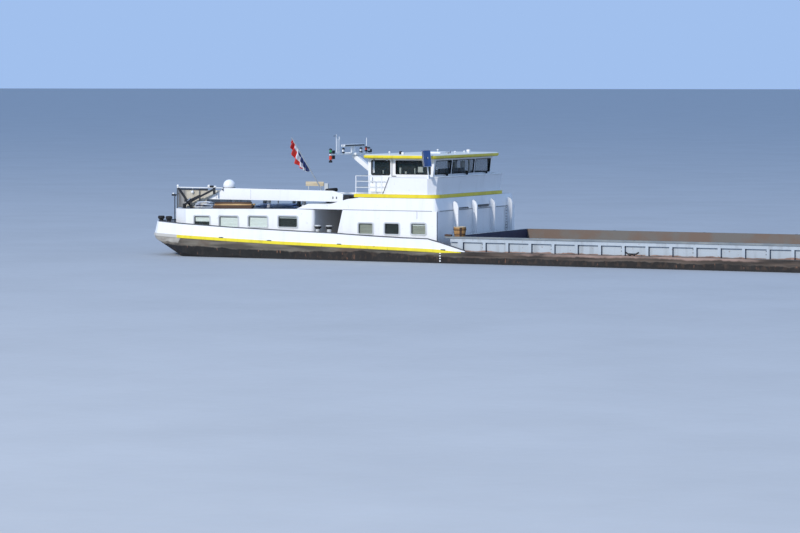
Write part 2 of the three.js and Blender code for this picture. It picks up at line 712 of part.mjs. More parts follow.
function passageDoor() {
  const [y0, y1] = PASSAGE_DOOR.y;
  const [z0, z1] = PASSAGE_DOOR.z;
  return slantedStrip([PASSAGE_RAIL + GAP, PASSAGE_RAIL + 0.04], [y0 - 0.04, y1 + 0.04], [z0 - 0.04, z1 + 0.04]);
}

// Aft face of the fore deckhouse, which slants, and a strip that stands off from it
const foreAftFace = (z) => FORE_AFT[0] + (FORE_AFT[1] - FORE_AFT[0]) * (z - 0.85) / (KNUCKLE - 0.85);

function slantedStrip([near, far], y, [low, high]) {
  const [a, b] = [foreAftFace(low), foreAftFace(high)];
  return spread([[a - far, low], [a - near, low], [b - near, high], [b - far, high]], y);
}

const PASSAGE_RAIL = 0.04;

function passageRails() {
  return [[-4.85, -3.25], [3.25, 4.85]].flatMap((y) => [[0.90, 0.96], [2.53, 2.66]]
    .map((z) => slantedStrip([-0.02, PASSAGE_RAIL], y, z)));
}

function aftDoor() {
  const [y0, y1] = AFT_DOOR.y;
  const [z0, z1] = AFT_DOOR.z;
  return box([AFT_HOUSE.aft - 0.04, AFT_HOUSE.aft - 0.004], [y0 - 0.05, y1 + 0.05], [z0 - 0.05, z1 + 0.05]);
}

// Wheelhouse, with everything that its lift raises

const BRIDGE = { aft: 12.65, front: 17.6, half: 4.65, round: 0.7 };

function bridgeDeck() {
  const { aft, front, half, round } = BRIDGE;
  const plan = [
    [aft, -half],
    ...arcPoints(front - round, -half + round, round, -90, 0, 6),
    ...arcPoints(front - round, half - round, round, 0, 90, 6),
    [aft, half],
  ];
  return join(raise(plan, BRIDGE_DECK), mastBracket());
}

function liftColumn() {
  const { x, half, foot } = LIFT;
  return box([x - half, x + half], [-half, half], [foot, BRIDGE_DECK[0] - GAP]);
}

function bridgeBulwark() {
  const low = BRIDGE_DECK[1] + GAP;
  const high = 4.55;
  const half = 4.55;
  const bend = 0.35;
  const front = 17.40;
  const aft = 14.36;
  const starboard = [[aft, -half], [front - bend, -half], [front, -half + bend]];
  const path = [...starboard, ...starboard.map(([x, y]) => [x, -y]).reverse()];
  const wall = wallAlong(path, () => low, () => high, PLATE, () => -0.12);
  const slant = spread([[13.5, 3], [aft, 3], [aft, low], [aft + 0.43, high + 0.1], [13.5, high + 0.1]], [-6, 6]);
  return join(cut(wall, slant), boardBracket());
}

function bridgeRailing() {
  const low = BRIDGE_DECK[1] + GAP;
  const high = 4.60;
  const half = BRIDGE.half - 0.08;
  const aft = BRIDGE.aft + 0.08;
  const path = [[14.3, -half], [13.55, -half], [aft, -half], [aft, -1.6]];
  const levels = [low + 0.35, low + 0.68, high];
  const pieces = [];
  path.forEach(([x, y], i) => {
    pieces.push(rod([x, y, low], [x, y, high], 0.028));
    if (i === 0) return;
    for (const z of levels) pieces.push(rod([...path[i - 1], z], [x, y, z], 0.022, 6));
  });
  return join(...pieces);
}

// Side view of the cabin: upright to the sill, then leaning forward
function cabinProfile(shift) {
  return [
    [CABIN_AFT + shift, 3.0], [16.98 - shift, 3.0], [17.03 - shift, 4.62], [17.18 - shift, 6.0],
    [CABIN_AFT - 0.04 + shift, 6.0],
  ];
}

const FRONT_MULLIONS = [-3.66, -1.5, 1.5, 3.66];
const SIDE_WINDOWS = [[14.76, 16.90, SILL, HEAD]];
const CABIN_DOOR = { x: [13.32, 14.52], z: [3.72, HEAD] };

function wheelhouseWalls() {
  const slab = raise([[12, -5], [18, -5], [18, 5], [12, 5]], [BRIDGE_DECK[1] + GAP, CABIN_TOP]);
  const outer = common(spread(cabinProfile(0), [-CABIN_HALF, CABIN_HALF]), slab);
  const half = CABIN_HALF - 0.08;
  const inner = spread(cabinProfile(0.08), [-half, half]);
  const tools = SIDE_WINDOWS.map(windowTool);
  tools.push(box(CABIN_DOOR.x, [-6, 6], CABIN_DOOR.z));
  for (let i = 0; i + 1 < FRONT_MULLIONS.length; i++) {
    tools.push(box([16.5, 17.6], [FRONT_MULLIONS[i] + 0.05, FRONT_MULLIONS[i + 1] - 0.05], [SILL, HEAD]));
  }
  for (const y of [-2.5, 0, 2.5]) tools.push(box([12.8, 13.6], [y - 1.0, y + 1.0], [SILL, HEAD]));
  return join(cut(outer, inner, ...tools), ...[-1, 1].flatMap(doorRunners));
}

// Rails on the cabin side that the sliding door runs on
const RUNNER_REACH = 0.05 - GAP;

function doorRunners(side) {
  const y = [CABIN_HALF - 0.01, CABIN_HALF + RUNNER_REACH].map((reach) => side * reach).sort((a, b) => a - b);
  return [[3.70, 3.76], [5.48, 5.54]].map((z) => box([13.24, 15.76], y, z));
}

function glazing() {
  const band = (shift, half) => common(
    spread(cabinProfile(shift), [-half, half]),
    box([12, 18], [-5, 5], [SILL - 0.06, HEAD + 0.05]),
  );
  const inside = 0.08 + GAP;
  const thick = 0.03;
  const half = CABIN_HALF - inside;
  const ring = cut(band(inside, half), spread(cabinProfile(inside + thick), [-half + thick, half - thick]));
  return cut(ring, box([13.0, 14.62], [-5, 5], [4, 6]));
}

function wheelhouseRoof() {
  const r = 0.3;
  const plan = (edge) => [
    ...arcPoints(13.0 + r, -4.4 + r, r - edge, 180, 270, 3),
    ...arcPoints(17.35 - r, -4.4 + r, r - edge, 270, 360, 3),
    ...arcPoints(17.35 - r, 4.4 - r, r - edge, 0, 90, 3),
    ...arcPoints(13.0 + r, 4.4 - r, r - edge, 90, 180, 3),
  ];
  const low = CABIN_TOP + GAP;
  const ring = (edge, z) => plan(edge).map(([x, y]) => [x, y, z]);
  return loft([ring(0.06, low), ring(0, low + 0.05), ring(0, low + 0.17), ring(0.12, low + 0.22)]);
}

// A leaf that slides forward outside the cabin side
function wheelhouseDoor() {
  const outside = -CABIN_HALF - 0.05;
  const [x0, x1] = [CABIN_DOOR.x[0] - 0.06, CABIN_DOOR.x[1] + 0.04];
  const leaf = box([x0, x1], [outside - 0.05, outside], [CABIN_DOOR.z[0], 5.52]);
  const pane = box([x0 + 0.12, x1 - 0.12], [outside - 0.2, outside + 0.1], [SILL, HEAD - 0.05]);
  return cut(leaf, pane);
}

function console() {
  const low = BRIDGE_DECK[1] + GAP;
  const profile = [[15.9, low], [16.6, low], [16.72, 4.5], [16.1, 4.66], [15.75, 4.5]];
  return spread(profile, [-1.7, 1.7]);
}

function chair() {
  const low = BRIDGE_DECK[1] + GAP;
  const column = rod([14.9, 0, low], [14.9, 0, 4.2], 0.1, 10);
  const foot = rod([14.9, 0, low], [14.9, 0, low + 0.05], 0.3, 12);
  const seat = box([14.6, 15.2], [-0.3, 0.3], [4.15, 4.3]);
  const back = beam([14.65, 4.2], [14.5, 5.1], [-0.28, 0.28], 0.14);
  const arms = [-0.34, 0.34].map((y) => box([14.55, 15.1], [y - 0.05, y + 0.05], [4.2, 4.5]));
  return join(column, foot, seat, back, ...arms);
}

// Radar mast: a raked beam hinged at the aft edge of the bridge deck, with its yard, lamps and aerials
const MAST = { foot: [12.8, 3.75], top: [10.3, 5.62], yard: 2.35 };

function radarMast() {
  const [fx, fz] = MAST.foot;
  const [tx, tz] = MAST.top;
  const leg = beam([fx, fz], [tx, tz], [-0.14, 0.14], 0.26);
  const eye = rod([fx, -0.16, fz], [fx, 0.16, fz], 0.13, 12);
  const table = box([tx - 0.42, tx + 0.3], [-0.3, 0.3], [tz + 0.02, tz + 0.14]);
  const yard = box([tx - 0.16, tx - 0.06], [-MAST.yard, MAST.yard], [tz + 0.03, tz + 0.11]);
  const pedestal = rod([tx - 0.05, 0, tz + 0.1], [tx - 0.05, 0, tz + 0.42], 0.13, 12);
  const lampPosts = [-2.3, 2.3].flatMap((y) => [
    rod([tx - 0.11, y, tz - 0.18], [tx - 0.11, y, tz + 0.3], 0.09, 8),
  ]);
  const whips = [-1.95, -1.6, 1.8]
    .map((y, i) => rod([tx - 0.11, y, tz], [tx - 0.11, y, 6.8 - 0.12 * i], 0.02, 6));
  return join(leg, eye, table, yard, pedestal, ...lampPosts, ...whips);
}

function mastBracket() {
  const [fx, fz] = MAST.foot;
  const low = BRIDGE_DECK[1] - 0.02;
  const cheeks = [-0.22, 0.22].map((y) => box([fx - 0.14, fx + 0.14], [y - 0.03, y + 0.03], [low, fz + 0.12]));
  return join(...cheeks);
}

function scanner() {
  const [tx, tz] = MAST.top;
  const bar = box([tx - 0.13, tx + 0.03], [-1.25, 1.25], [tz + 0.475, tz + 0.62]);
  return join(bar, rod([tx - 0.05, 0, tz + 0.42 + GAP], [tx - 0.05, 0, tz + 0.5], 0.09, 12));
}

// Signal board on its folding stalk at the starboard front corner of the bridge
const BOARD = { x: 17.31, y: -4.95, pivot: 4.66 };

function signBoard() {
  const { x, y, pivot } = BOARD;
  const lean = 0.16;
  const at = (t) => [x - lean * t, pivot + 1.40 * t];
  const panel = beam(at(0.35), at(1), [y - 0.49, y + 0.49], 0.05);
  const stalk = beam(at(0), at(0.5), [y - 0.03, y + 0.03], 0.06);
  const eye = rod([x, y - 0.065 + GAP, pivot], [x, y + 0.065 - GAP, pivot], 0.04, 10);
  return join(panel, stalk, eye);
}

function boardBracket() {
  const { x, y, pivot } = BOARD;
  const cheeks = [y - 0.08, y + 0.08]
    .map((at) => box([x - 0.05, x + 0.05], [at - 0.015, at + 0.015], [4.57, pivot + 0.05]));
  return join(...cheeks, box([x - 0.06, x + 0.06], [y - 0.1, y + 0.55], [4.50, 4.58]));
}

function searchlight() {
  const top = CABIN_TOP + GAP * 2 + 0.22;
  const stand = rod([16.9, 1.05, top], [16.9, 1.05, top + 0.08], 0.04);
  const drum = rod([16.83, 1.05, top + 0.13], [17.0, 1.05, top + 0.13], 0.09, 14);
  return join(stand, drum);
}

// Engine, propeller, nozzle and rudders

function engine() {
  const low = -2.6 + GAP;
  return join(
    box([12.6, 14.65], [-0.75, 0.75], [low, -1.9]),
    box([12.7, 14.5], [-0.55, 0.55], [-2.0, -0.9]),
  );
}

function propeller() {
  const { x, radius, boss } = PROP;
  const hub = rod([x - 0.35, 0, 0], [x + 0.45, 0, 0], boss * 0.7, 14, boss);
  const shaft = rod([x + 0.3, 0, 0], [6.0 - GAP, 0, 0], 0.11, 12);
  const blade = new THREE.Shape();
  blade.moveTo(-0.12, 0.1).quadraticCurveTo(-0.5, 0.5, -0.2, radius - 0.05);
  blade.quadraticCurveTo(0, radius, 0.2, radius - 0.05).quadraticCurveTo(0.42, 0.45, 0.12, 0.1);
  const blades = [0, 90, 180, 270].map((turn) => extrude(blade, 0.05, 4)
    .translate(0, 0, -0.025)
    .rotateY(THREE.MathUtils.degToRad(50))
    .translate(x, 0, 0)
    .rotateX(THREE.MathUtils.degToRad(turn)));
  return join(hub, shaft, ...blades).translate(0, 0, SHAFT_Z);
}

function nozzle() {
  const [inner, outer] = [0.91, 1.02];
  const profile = [[inner, 0.45], [outer, 0.4], [outer - 0.02, -0.45], [inner + 0.03, -0.5], [inner, 0.45]];
  const ring = new THREE.LatheGeometry(profile.map(([r, x]) => new THREE.Vector2(r, x)).reverse(), 32)
    .rotateZ(-Math.PI / 2)
    .translate(PROP.x, 0, SHAFT_Z);
  const strut = box([PROP.x - 0.3, PROP.x + 0.35], [-0.12, 0.12], [SHAFT_Z + inner + 0.05, CEILING - GAP]);
  const arms = [-1, 1].map((side) => box([PROP.x - 0.2, PROP.x + 0.3], [side * 1.05 - 0.09, side * 1.05 + 0.09],
    [SHAFT_Z, CEILING - GAP]));
  return join(ring, strut, ...arms);
}

function rudder() {
  const { stock, y, ahead, behind, top, foot } = RUDDER;
  const half = 0.07;
  const tail = stock - behind;
  const plan = [[tail, -y - 0.01], [stock, -y - half], [stock + ahead, -y], [stock, -y + half], [tail, -y + 0.01]];
  const blade = raise(plan, [foot, top]);
  return join(blade, rod([stock, -y, top - 0.1], [stock, -y, top + 0.1 - GAP], 0.09, 12));
}

// Bow gear

function bowPath() {
  const rows = BOW.filter(([x]) => x > 101);
  const starboard = rows.map(([x, half]) => [x, -half]);
  return [...starboard, ...starboard.map(([x, y]) => [x, -y]).reverse()];
}

function bowBulwark() {
  const high = (x) => 2.55 + 0.5 * Math.max(0, (x - 101.5) / 8.5);
  return wallAlong(bowPath(), () => FORE_DECK + GAP, high, PLATE, (x) => -BOW_FLARE * Math.max(0, x - 103));
}

function windlass() {
  const low = FORE_DECK + GAP;
  const bed = box([105.4, 106.6], [-1.7, 1.7], [low, low + 0.12]);
  const shaft = rod([106, -1.9, low + 0.6], [106, 1.9, low + 0.6], 0.08, 10);
  const drums = [-1.1, 1.1].map((y) => rod([106, y - 0.28, low + 0.6], [106, y + 0.28, low + 0.6], 0.34, 16));
  const heads = [-1.75, 1.75].map((y) => rod([106, y - 0.15, low + 0.6], [106, y + 0.15, low + 0.6], 0.2, 12));
  const frames = [-1.5, -0.65, 0.65, 1.5].map((y) => box([105.6, 106.4], [y - 0.05, y + 0.05], [low + 0.1, low + 0.7]));
  const motor = box([105.65, 106.35], [-0.5, 0.5], [low + 0.1, low + 0.75]);
  return join(bed, shaft, ...drums, ...heads, ...frames, motor);
}

const HAWSE = { x: 105.4, z: [0.9, 1.35], face: 5.5 };

function hawsePlate() {
  const { x, z, face } = HAWSE;
  return box([x - 0.3, x + 0.3], [-face, -4.9], z);
}

function anchor() {
  const [x, y, z] = [HAWSE.x, -HAWSE.face - GAP - 0.16, 0.75];
  const shank = box([x - 0.06, x + 0.06], [y + 0.02, y + 0.16], [z - 0.55, z + 0.55]);
  const crown = box([x - 0.4, x + 0.4], [y, y + 0.16], [z - 0.62, z - 0.45]);
  const flukes = [x - 0.32, x + 0.32].map((at) => raise(
    [[at - 0.11, y], [at + 0.11, y], [at + 0.07, y + 0.1], [at - 0.07, y + 0.1]], [z - 0.6, z + 0.1],
  ));
  return join(shank, crown, ...flukes);
}

const FOREMAST = { x: 104.9, foot: 2.1, top: 6.3 };

function foremast() {
  const { x, foot, top } = FOREMAST;
  const pole = rod([x, 0, foot], [x, 0, top], 0.08, 10, 0.05);
  const eye = rod([x, -0.14 + GAP, foot], [x, 0.14 - GAP, foot], 0.1, 12);
  const yard = rod([x, -0.8, top - 0.6], [x, 0.8, top - 0.6], 0.035);
  const lamps = [[0, top], [-0.8, top - 0.6], [0.8, top - 0.6]]
    .map(([y, z]) => rod([x, y, z - 0.05], [x, y, z + 0.2], 0.09, 10));
  return join(pole, eye, yard, ...lamps);
}

function foremastStep() {
  const { x, foot } = FOREMAST;
  const low = FORE_DECK - 0.05;
  const cheeks = [-0.17, 0.17].map((y) => box([x - 0.12, x + 0.12], [y - 0.03, y + 0.03], [low, foot + 0.12]));
  return join(...cheeks);
}

function bowHatch() {
  return box([100.9, 104.6], [-1.3, 1.3], [FORE_DECK + GAP, FORE_DECK + 0.13]);
}

// Things stowed on board

// A profile of x and height over the aft roof
function onAftRoof(points, y) {
  return spread(points.map(([x, h]) => [x, aftRoof(x) + GAP + h]), y);
}

function planks() {
  const rows = [[4.05, 6.4, 0, 0.14], [3.95, 6.5, 0.139, 0.27]];
  const tier = ([x0, x1, low, high]) => onAftRoof([[x0, low], [x1, low], [x1, high], [x0, high]], [-4.95, -4.55]);
  return join(...rows.map(tier));
}

function tarpaulin() {
  return onAftRoof([[6.65, 0], [9.15, 0], [8.6, 0.26], [7.0, 0.32]], [-5.0, -4.4]);
}

function foldedCover() {
  return onAftRoof([[2.75, 0], [3.85, 0], [3.75, 0.34], [3.45, 0.44], [3.15, 0.40], [2.85, 0.12]], [-4.95, -4.45]);
}

function tub() {
  const z = COAMING_TOP + GAP;
  return new THREE.LatheGeometry([[0, 0], [0.28, 0], [0.35, 0.52], [0.31, 0.52], [0.25, 0.06], [0, 0.06]]
    .map(([r, h]) => new THREE.Vector2(r, h)), 20)
    .rotateX(Math.PI / 2)
    .translate(19.2, -5.0, z);
}

add('hull_aft', sternBlock([-1, BULKHEAD]), DARK_HULL, 0.7, 0.2);
add('hull_engine_room', sternBlock([BULKHEAD + GAP, 20]), DARK_HULL, 0.7, 0.2);
addPair('passage_bollards', passageBollards(), GREY, 0.6, 0.1);
addPair('hull_wing', wing(), DARK_HULL, 0.7, 0.2);
add('hull_bottom', bottom(), DARK_HULL, 0.7, 0.2);
add('hull_fore', bowHull(), DARK_HULL, 0.7, 0.2);
addPair('coaming', sideCoaming(), GREY, 0.6, 0.1);
add('coaming_aft', endCoaming(HOLD_AFT, -1), GREY, 0.6, 0.1);
add('coaming_fore', endCoaming(HOLD_FORE, 1), GREY, 0.6, 0.1);
add('rubbing_strake', strake(), YELLOW, 0.5);
add('aft_bulwark', aftBulwark(), WHITE, 0.4);
add('aft_house', aftHouse(), WHITE, 0.4);
add('fore_house_walls', foreHouseWalls(), WHITE, 0.4);
add('fore_house_roof', foreHouseRoof(), WHITE, 0.4);
add('car_platform', platform(), WHITE, 0.4);
add('satellite_dome', dome(), WHITE, 0.3);
add('terrace_rail', terraceRail(), WHITE, 0.4);
add('terrace_canvas', terraceCanvas(), CREAM, 0.9);
add('derrick_post', derrickPost(), BLACK, 0.5);
add('derrick_gooseneck', derrickGooseneck(), BLACK, 0.5);
add('derrick_boom', derrickBoom(), BLACK, 0.5);
add('flagstaff', flagstaff(), WHITE, 0.4);
add('flag', flag(), 0xb02a30, 0.9);
addPair('passage_door', passageDoor(), WHITE, 0.4);
add('aft_door', aftDoor(), WHITE, 0.4);
add('bridge_deck', bridgeDeck(), YELLOW, 0.5);
add('lift_column', liftColumn(), STEEL, 0.5, 0.5);
add('bridge_bulwark', bridgeBulwark(), WHITE, 0.4);
addPair('bridge_railing', bridgeRailing(), WHITE, 0.4);
add('wheelhouse_walls', wheelhouseWalls(), WHITE, 0.4);
add('wheelhouse_glazing', glazing(), 0x24303a, 0.1, 0.3);
add('wheelhouse_roof', wheelhouseRoof(), YELLOW, 0.4);
addPair('wheelhouse_door', wheelhouseDoor(), WHITE, 0.4);
add('helm_console', console(), STEEL, 0.6);
add('helm_chair', chair(), BLACK, 0.8);
add('radar_mast', radarMast(), WHITE, 0.4);
add('radar_scanner', scanner(), WHITE, 0.4);
add('sign_board', signBoard(), 0x1c4b9a, 0.4);
add('searchlight', searchlight(), WHITE, 0.4);
add('engine_block', engine(), STEEL, 0.6, 0.4);
add('propeller', propeller(), 0xa8843c, 0.3, 0.9);
add('nozzle', nozzle(), DARK_HULL, 0.7, 0.2);
addPair('rudder', rudder(), DARK_HULL, 0.7, 0.2);
add('bow_bulwark', bowBulwark(), WHITE, 0.4);
add('windlass', windlass(), BLACK, 0.5, 0.4);
addPair('anchor', anchor(), BLACK, 0.6, 0.5);
add('foremast', foremast(), WHITE, 0.4);
add('bow_hatch', bowHatch(), GREY, 0.5);
add('plank_stack', planks(), 0xb58b5a, 0.9);
add('tarpaulin', tarpaulin(), 0x3a5f8f, 0.9);
add('folded_cover', foldedCover(), 0xc3ccd6, 0.9);
add('mooring_tub', tub(), 0x8a5a30, 0.9);

export default group;
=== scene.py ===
"""River motor barge, 1:10 model: finishes, fittings, cloth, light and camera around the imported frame.

Shapes are drawn in metres of the full-size ship: s forward from the transom, y to port and z above the
waterline. model() turns such a point into the frame's metres."""
import json
import random
from math import atan, copysign, cos, pi, radians, sin

import bmesh
import bpy
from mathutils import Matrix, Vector, noise


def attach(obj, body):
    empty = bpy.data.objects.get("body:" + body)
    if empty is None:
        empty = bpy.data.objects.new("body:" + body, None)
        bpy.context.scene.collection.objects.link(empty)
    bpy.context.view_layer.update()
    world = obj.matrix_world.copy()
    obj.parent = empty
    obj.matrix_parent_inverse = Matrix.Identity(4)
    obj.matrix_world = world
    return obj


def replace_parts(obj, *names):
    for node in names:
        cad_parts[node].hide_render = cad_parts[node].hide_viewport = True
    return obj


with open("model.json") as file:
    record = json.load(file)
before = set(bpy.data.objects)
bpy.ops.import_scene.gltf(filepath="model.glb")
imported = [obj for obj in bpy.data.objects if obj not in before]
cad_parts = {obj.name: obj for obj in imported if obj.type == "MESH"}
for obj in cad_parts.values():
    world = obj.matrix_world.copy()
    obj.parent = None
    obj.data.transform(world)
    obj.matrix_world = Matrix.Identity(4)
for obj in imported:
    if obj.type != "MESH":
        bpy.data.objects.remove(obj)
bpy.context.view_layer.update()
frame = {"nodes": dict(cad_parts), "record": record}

SCALE = 0.1
MIDSHIP = 55.0
DRAUGHT = 3.10
SIDES = (-1, 1)
SIDE_NAME = {-1: "starboard", 1: "port"}


def model(point):
    s, y, z = point
    return Vector(((s - MIDSHIP) * SCALE, y * SCALE, (z + DRAUGHT) * SCALE))


def linked(name, data):
    """A new object in the scene"""
    made = bpy.data.objects.new(name, data)
    bpy.context.scene.collection.objects.link(made)
    return made


# Camera: the photograph is 800 by 533, taken 26 degrees forward of abeam

PHOTO_WIDTH, PHOTO_HEIGHT = 800, 533
FOCAL_PIXELS = 3250
HORIZON_ROW = 82
EYE = (92.823, -163.288, 9.72)
FORWARD_OF_ABEAM = radians(26)


def add_camera():
    data = bpy.data.cameras.new("camera")
    camera = linked("camera", data)
    data.sensor_width = 36
    data.lens = data.sensor_width * FOCAL_PIXELS / PHOTO_WIDTH
    data.clip_end = 1000
    down = atan((PHOTO_HEIGHT / 2 - HORIZON_ROW) / FOCAL_PIXELS)
    level = Vector((-sin(FORWARD_OF_ABEAM), cos(FORWARD_OF_ABEAM), 0))
    view = level * cos(down) - Vector((0, 0, 1)) * sin(down)
    camera.location = model(EYE)
    camera.rotation_euler = view.to_track_quat("-Z", "Y").to_euler()
    bpy.context.scene.camera = camera


add_camera()

# Finishes


def linear(tone, strength=1.0):
    """The shader's colour for three screen levels from 0 to 255; a tone that is one already is kept"""
    if isinstance(tone, bpy.types.NodeSocket) or len(tone) == 4:
        return tone
    values = [level / 255 for level in tone]
    return (*[strength * (v / 12.92 if v <= 0.04045 else ((v + 0.055) / 1.055) ** 2.4) for v in values], 1)


class Finish:
    """A material on the Principled shader, with short calls for the nodes that vary it.

    s and z are places on the ship, aside is the distance from the centre line in the frame's metres"""

    def __init__(self, name, roughness=0.5, **settings):
        self.material = bpy.data.materials.new(name)
        self.material.use_nodes = True
        self.tree = self.material.node_tree
        self.shader = self.tree.nodes["Principled BSDF"]
        self.shader.inputs["Roughness"].default_value = roughness
        for key, value in settings.items():
            self.shader.inputs[key.replace("_", " ")].default_value = value
        coordinates = self.tree.nodes.new("ShaderNodeTexCoord")
        self.place = coordinates.outputs["Object"]
        x, y, z = self.split(self.place)
        self.s = self.math("ADD", self.math("DIVIDE", x, SCALE), MIDSHIP)
        self.z = self.math("SUBTRACT", self.math("DIVIDE", z, SCALE), DRAUGHT)
        self.aside = self.math("ABSOLUTE", y)
        self.ahead, _, self.up = self.split(coordinates.outputs["Normal"])

    def node(self, kind, inputs, output=0, **settings):
        made = self.tree.nodes.new(kind)
        for key, value in settings.items():
            setattr(made, key, value)
        for index, value in inputs.items():
            if isinstance(value, bpy.types.NodeSocket):
                self.tree.links.new(value, made.inputs[index])
            else:
                made.inputs[index].default_value = value
        return made.outputs[output]

    def split(self, vector):
        made = self.tree.nodes.new("ShaderNodeSeparateXYZ")
        self.tree.links.new(vector, made.inputs[0])
        return made.outputs

    def math(self, operation, a, b=0.0):
        return self.node("ShaderNodeMath", {0: a, 1: b}, operation=operation)

    def times(self, first, *others):
        for other in others:
            first = self.math("MULTIPLY", first, other)
        return first

    def ramp(self, value, low, high, start=0.0, end=1.0):
        """start below low, end above high"""
        return self.node("ShaderNodeMapRange", {0: value, 1: low, 2: high, 3: start, 4: end})

    def window(self, value, low, high, soft=0.01):
        """1 between low and high"""
        rise = self.ramp(value, low - soft, low + soft)
        return self.times(rise, self.ramp(value, high + soft, high - soft))

    def noise(self, scale, detail=4.0, stretch=(1, 1, 1)):
        vector = self.node("ShaderNodeVectorMath", {0: self.place, 1: stretch}, operation="MULTIPLY")
        return self.node("ShaderNodeTexNoise", {"Vector": vector, "Scale": scale, "Detail": detail})

    def patch(self, tone, colour, *masks):
        """The tone, turned to the colour as far as the masks' product says"""
        inputs = {0: self.times(*masks), 6: linear(tone), 7: linear(colour)}
        return self.node("ShaderNodeMix", inputs, output=2, data_type="RGBA")

    def blend(self, noise, low, high, tone, colour, share=1.0):
        """The tone, turned to the colour where the noise passes from low to high, at most by the share"""
        return self.patch(tone, colour, self.ramp(self.noise(*noise), low, high), share)

    def weave(self, threads, creases):
        """Height of two crossed thread waves over soft creases"""
        waves = [self.node("ShaderNodeTexWave", {"Vector": self.place, "Scale": threads}, output=1,
                           bands_direction=axis) for axis in "XZ"]
        return self.math("ADD", self.times(self.math("ADD", *waves), 0.15), self.noise(creases, 4))

    def over(self, colour, *masks):
        self.tone = self.patch(self.tone, colour, *masks)

    def specks(self, noise, low, high, colour, share=1.0):
        self.tone = self.blend(noise, low, high, self.tone, colour, share)

    def done(self, grain=None, rough=None, height=None, strength=0.3, distance=0.003):
        """Links the tone, the roughness that follows the grain, and the bump, and gives the material"""
        links = {"Base Color": self.tone}
        if grain is not None:
            links["Roughness"] = self.ramp(grain, 0.0, 1.0, *rough)
        if height is not None:
            bump = {"Strength": strength, "Distance": distance, "Height": height}
            links["Normal"] = self.node("ShaderNodeBump", bump)
        for name, value in links.items():
            self.tree.links.new(value, self.shader.inputs[name])
        return self.material


RUST = (118, 74, 52)
GRIME = (92, 86, 78)
YELLOW_TONE = (226, 205, 60)
FITTING_WHITE = (240, 240, 238)


def worn_paint(name, base, roughness=0.4, dirt=GRIME, dirty=0.25, runs=0.25, rust=0.0, tops=None,
               change=None):
    """Ship paint: slow changes of tone, rain streaks, soot in patches and a few rust spots.

    tops is the colour of faces that look up; change paints over the finished tone"""
    f = Finish(name, roughness)
    f.tone = f.blend((1.7, 3), 0.35, 0.7, base, linear(base, 0.93))
    f.specks((26, 5, (1, 1, 0.10)), 0.52, 0.8, dirt, runs)
    f.specks((7, 6), 0.56, 0.8, dirt, dirty)
    if rust:
        f.specks((60, 3), 0.66, 0.72, RUST, rust)
    if tops:
        f.over(tops, f.ramp(f.up, 0.6, 0.8))
    if change:
        change(f)
    return f.done(f.noise(20, 4), (roughness * 0.75, min(1.0, roughness * 1.4)),
                  f.noise(5, 3, (1, 1, 0.7)), 0.12, 0.004)


def hull_paint(name):
    """Bottom paint: a scuffed grey-brown belt under the deck edge, rusty patches, black at the water"""
    f = Finish(name, 0.7)
    s, z = f.s, f.z
    deck_edge = f.math("MAXIMUM", f.math("SUBTRACT", 1.20, f.times(s, 0.029)), 0.63)
    depth = f.math("SUBTRACT", deck_edge, z)
    for scale, reach in ((5, 0.30), (22, 0.20)):
        wobble = f.math("SUBTRACT", f.noise(scale, 5, (1, 1, 0.6)), 0.5)
        depth = f.math("ADD", depth, f.times(wobble, reach))
    below_belt = f.math("SUBTRACT", depth, f.ramp(s, 8.0, 13.5, 0.50, 0.27))
    scrapes = (30, 5, (0.12, 1, 1))
    scuffs = (42, 5, (0.8, 1, 0.5))
    belt = f.blend(scrapes, 0.42, 0.62, (72, 67, 59), (116, 109, 97))
    belt = f.blend((4, 5), 0.55, 0.66, belt, (88, 68, 54))
    brown = f.blend(scuffs, 0.50, 0.66, (27, 22, 19), (60, 46, 36))
    black = f.blend(scuffs, 0.56, 0.70, (13, 12, 11), (38, 31, 26))
    low = f.patch(black, brown, f.ramp(f.math("ADD", s, f.times(f.noise(3, 4), 6)), 12, 14))
    low = f.blend((64, 3, (1, 1, 0.3)), 0.66, 0.72, low, (122, 84, 62))
    f.tone = f.patch(belt, low, f.ramp(below_belt, -0.02, 0.05))
    f.over((24, 22, 21), f.ramp(z, 0.16, 0.04))
    side = f.blend(scrapes, 0.42, 0.62, (46, 39, 34), (90, 76, 66))
    f.over(side, f.ramp(s, 19.2, 20), f.ramp(below_belt, 0.05, -0.02))
    salmon = (160, 134, 122)
    f.over(salmon, f.ramp(f.noise(1.9, 4), 0.50, 0.58), f.ramp(depth, 0.16, 0.08), f.ramp(s, 19.3, 20))
    dust = f.blend((24, 4, (0.3, 1, 1)), 0.4, 0.7, (178, 174, 164), (142, 136, 126))
    quarter = f.ramp(f.math("ADD", s, f.times(depth, 0.8)), 2.42, 2.34)
    f.over(dust, quarter, f.ramp(depth, 0.40, 0.34))
    deck = f.blend((12, 5), 0.4, 0.65, (112, 108, 102), (86, 78, 70))
    f.over(deck, f.ramp(f.up, 0.7, 0.9), f.ramp(z, 0.5, 0.6))
    plate = f.blend((6, 6), 0.4, 0.62, (104, 98, 92), (116, 94, 80))
    f.over(plate, f.ramp(f.aside, 0.5046, 0.5043), f.window(s, 18.64, 99.36), f.ramp(z, -2.9, -2.8))
    bow_stripe = f.window(z, 1.52, 1.70, 0.005)
    f.over(YELLOW_TONE, bow_stripe, f.ramp(s, 100.7, 100.75), f.ramp(f.up, 0.9, 0.7))
    stern_posts = f.ramp(s, 1.3, 1.28)
    f.over((26, 26, 28), stern_posts, f.ramp(z, 1.25, 1.3))
    return f.done(f.noise(14, 5), (0.55, 0.95), f.math("ADD", f.noise(40, 6), f.noise(3, 3)), 0.35, 0.006)


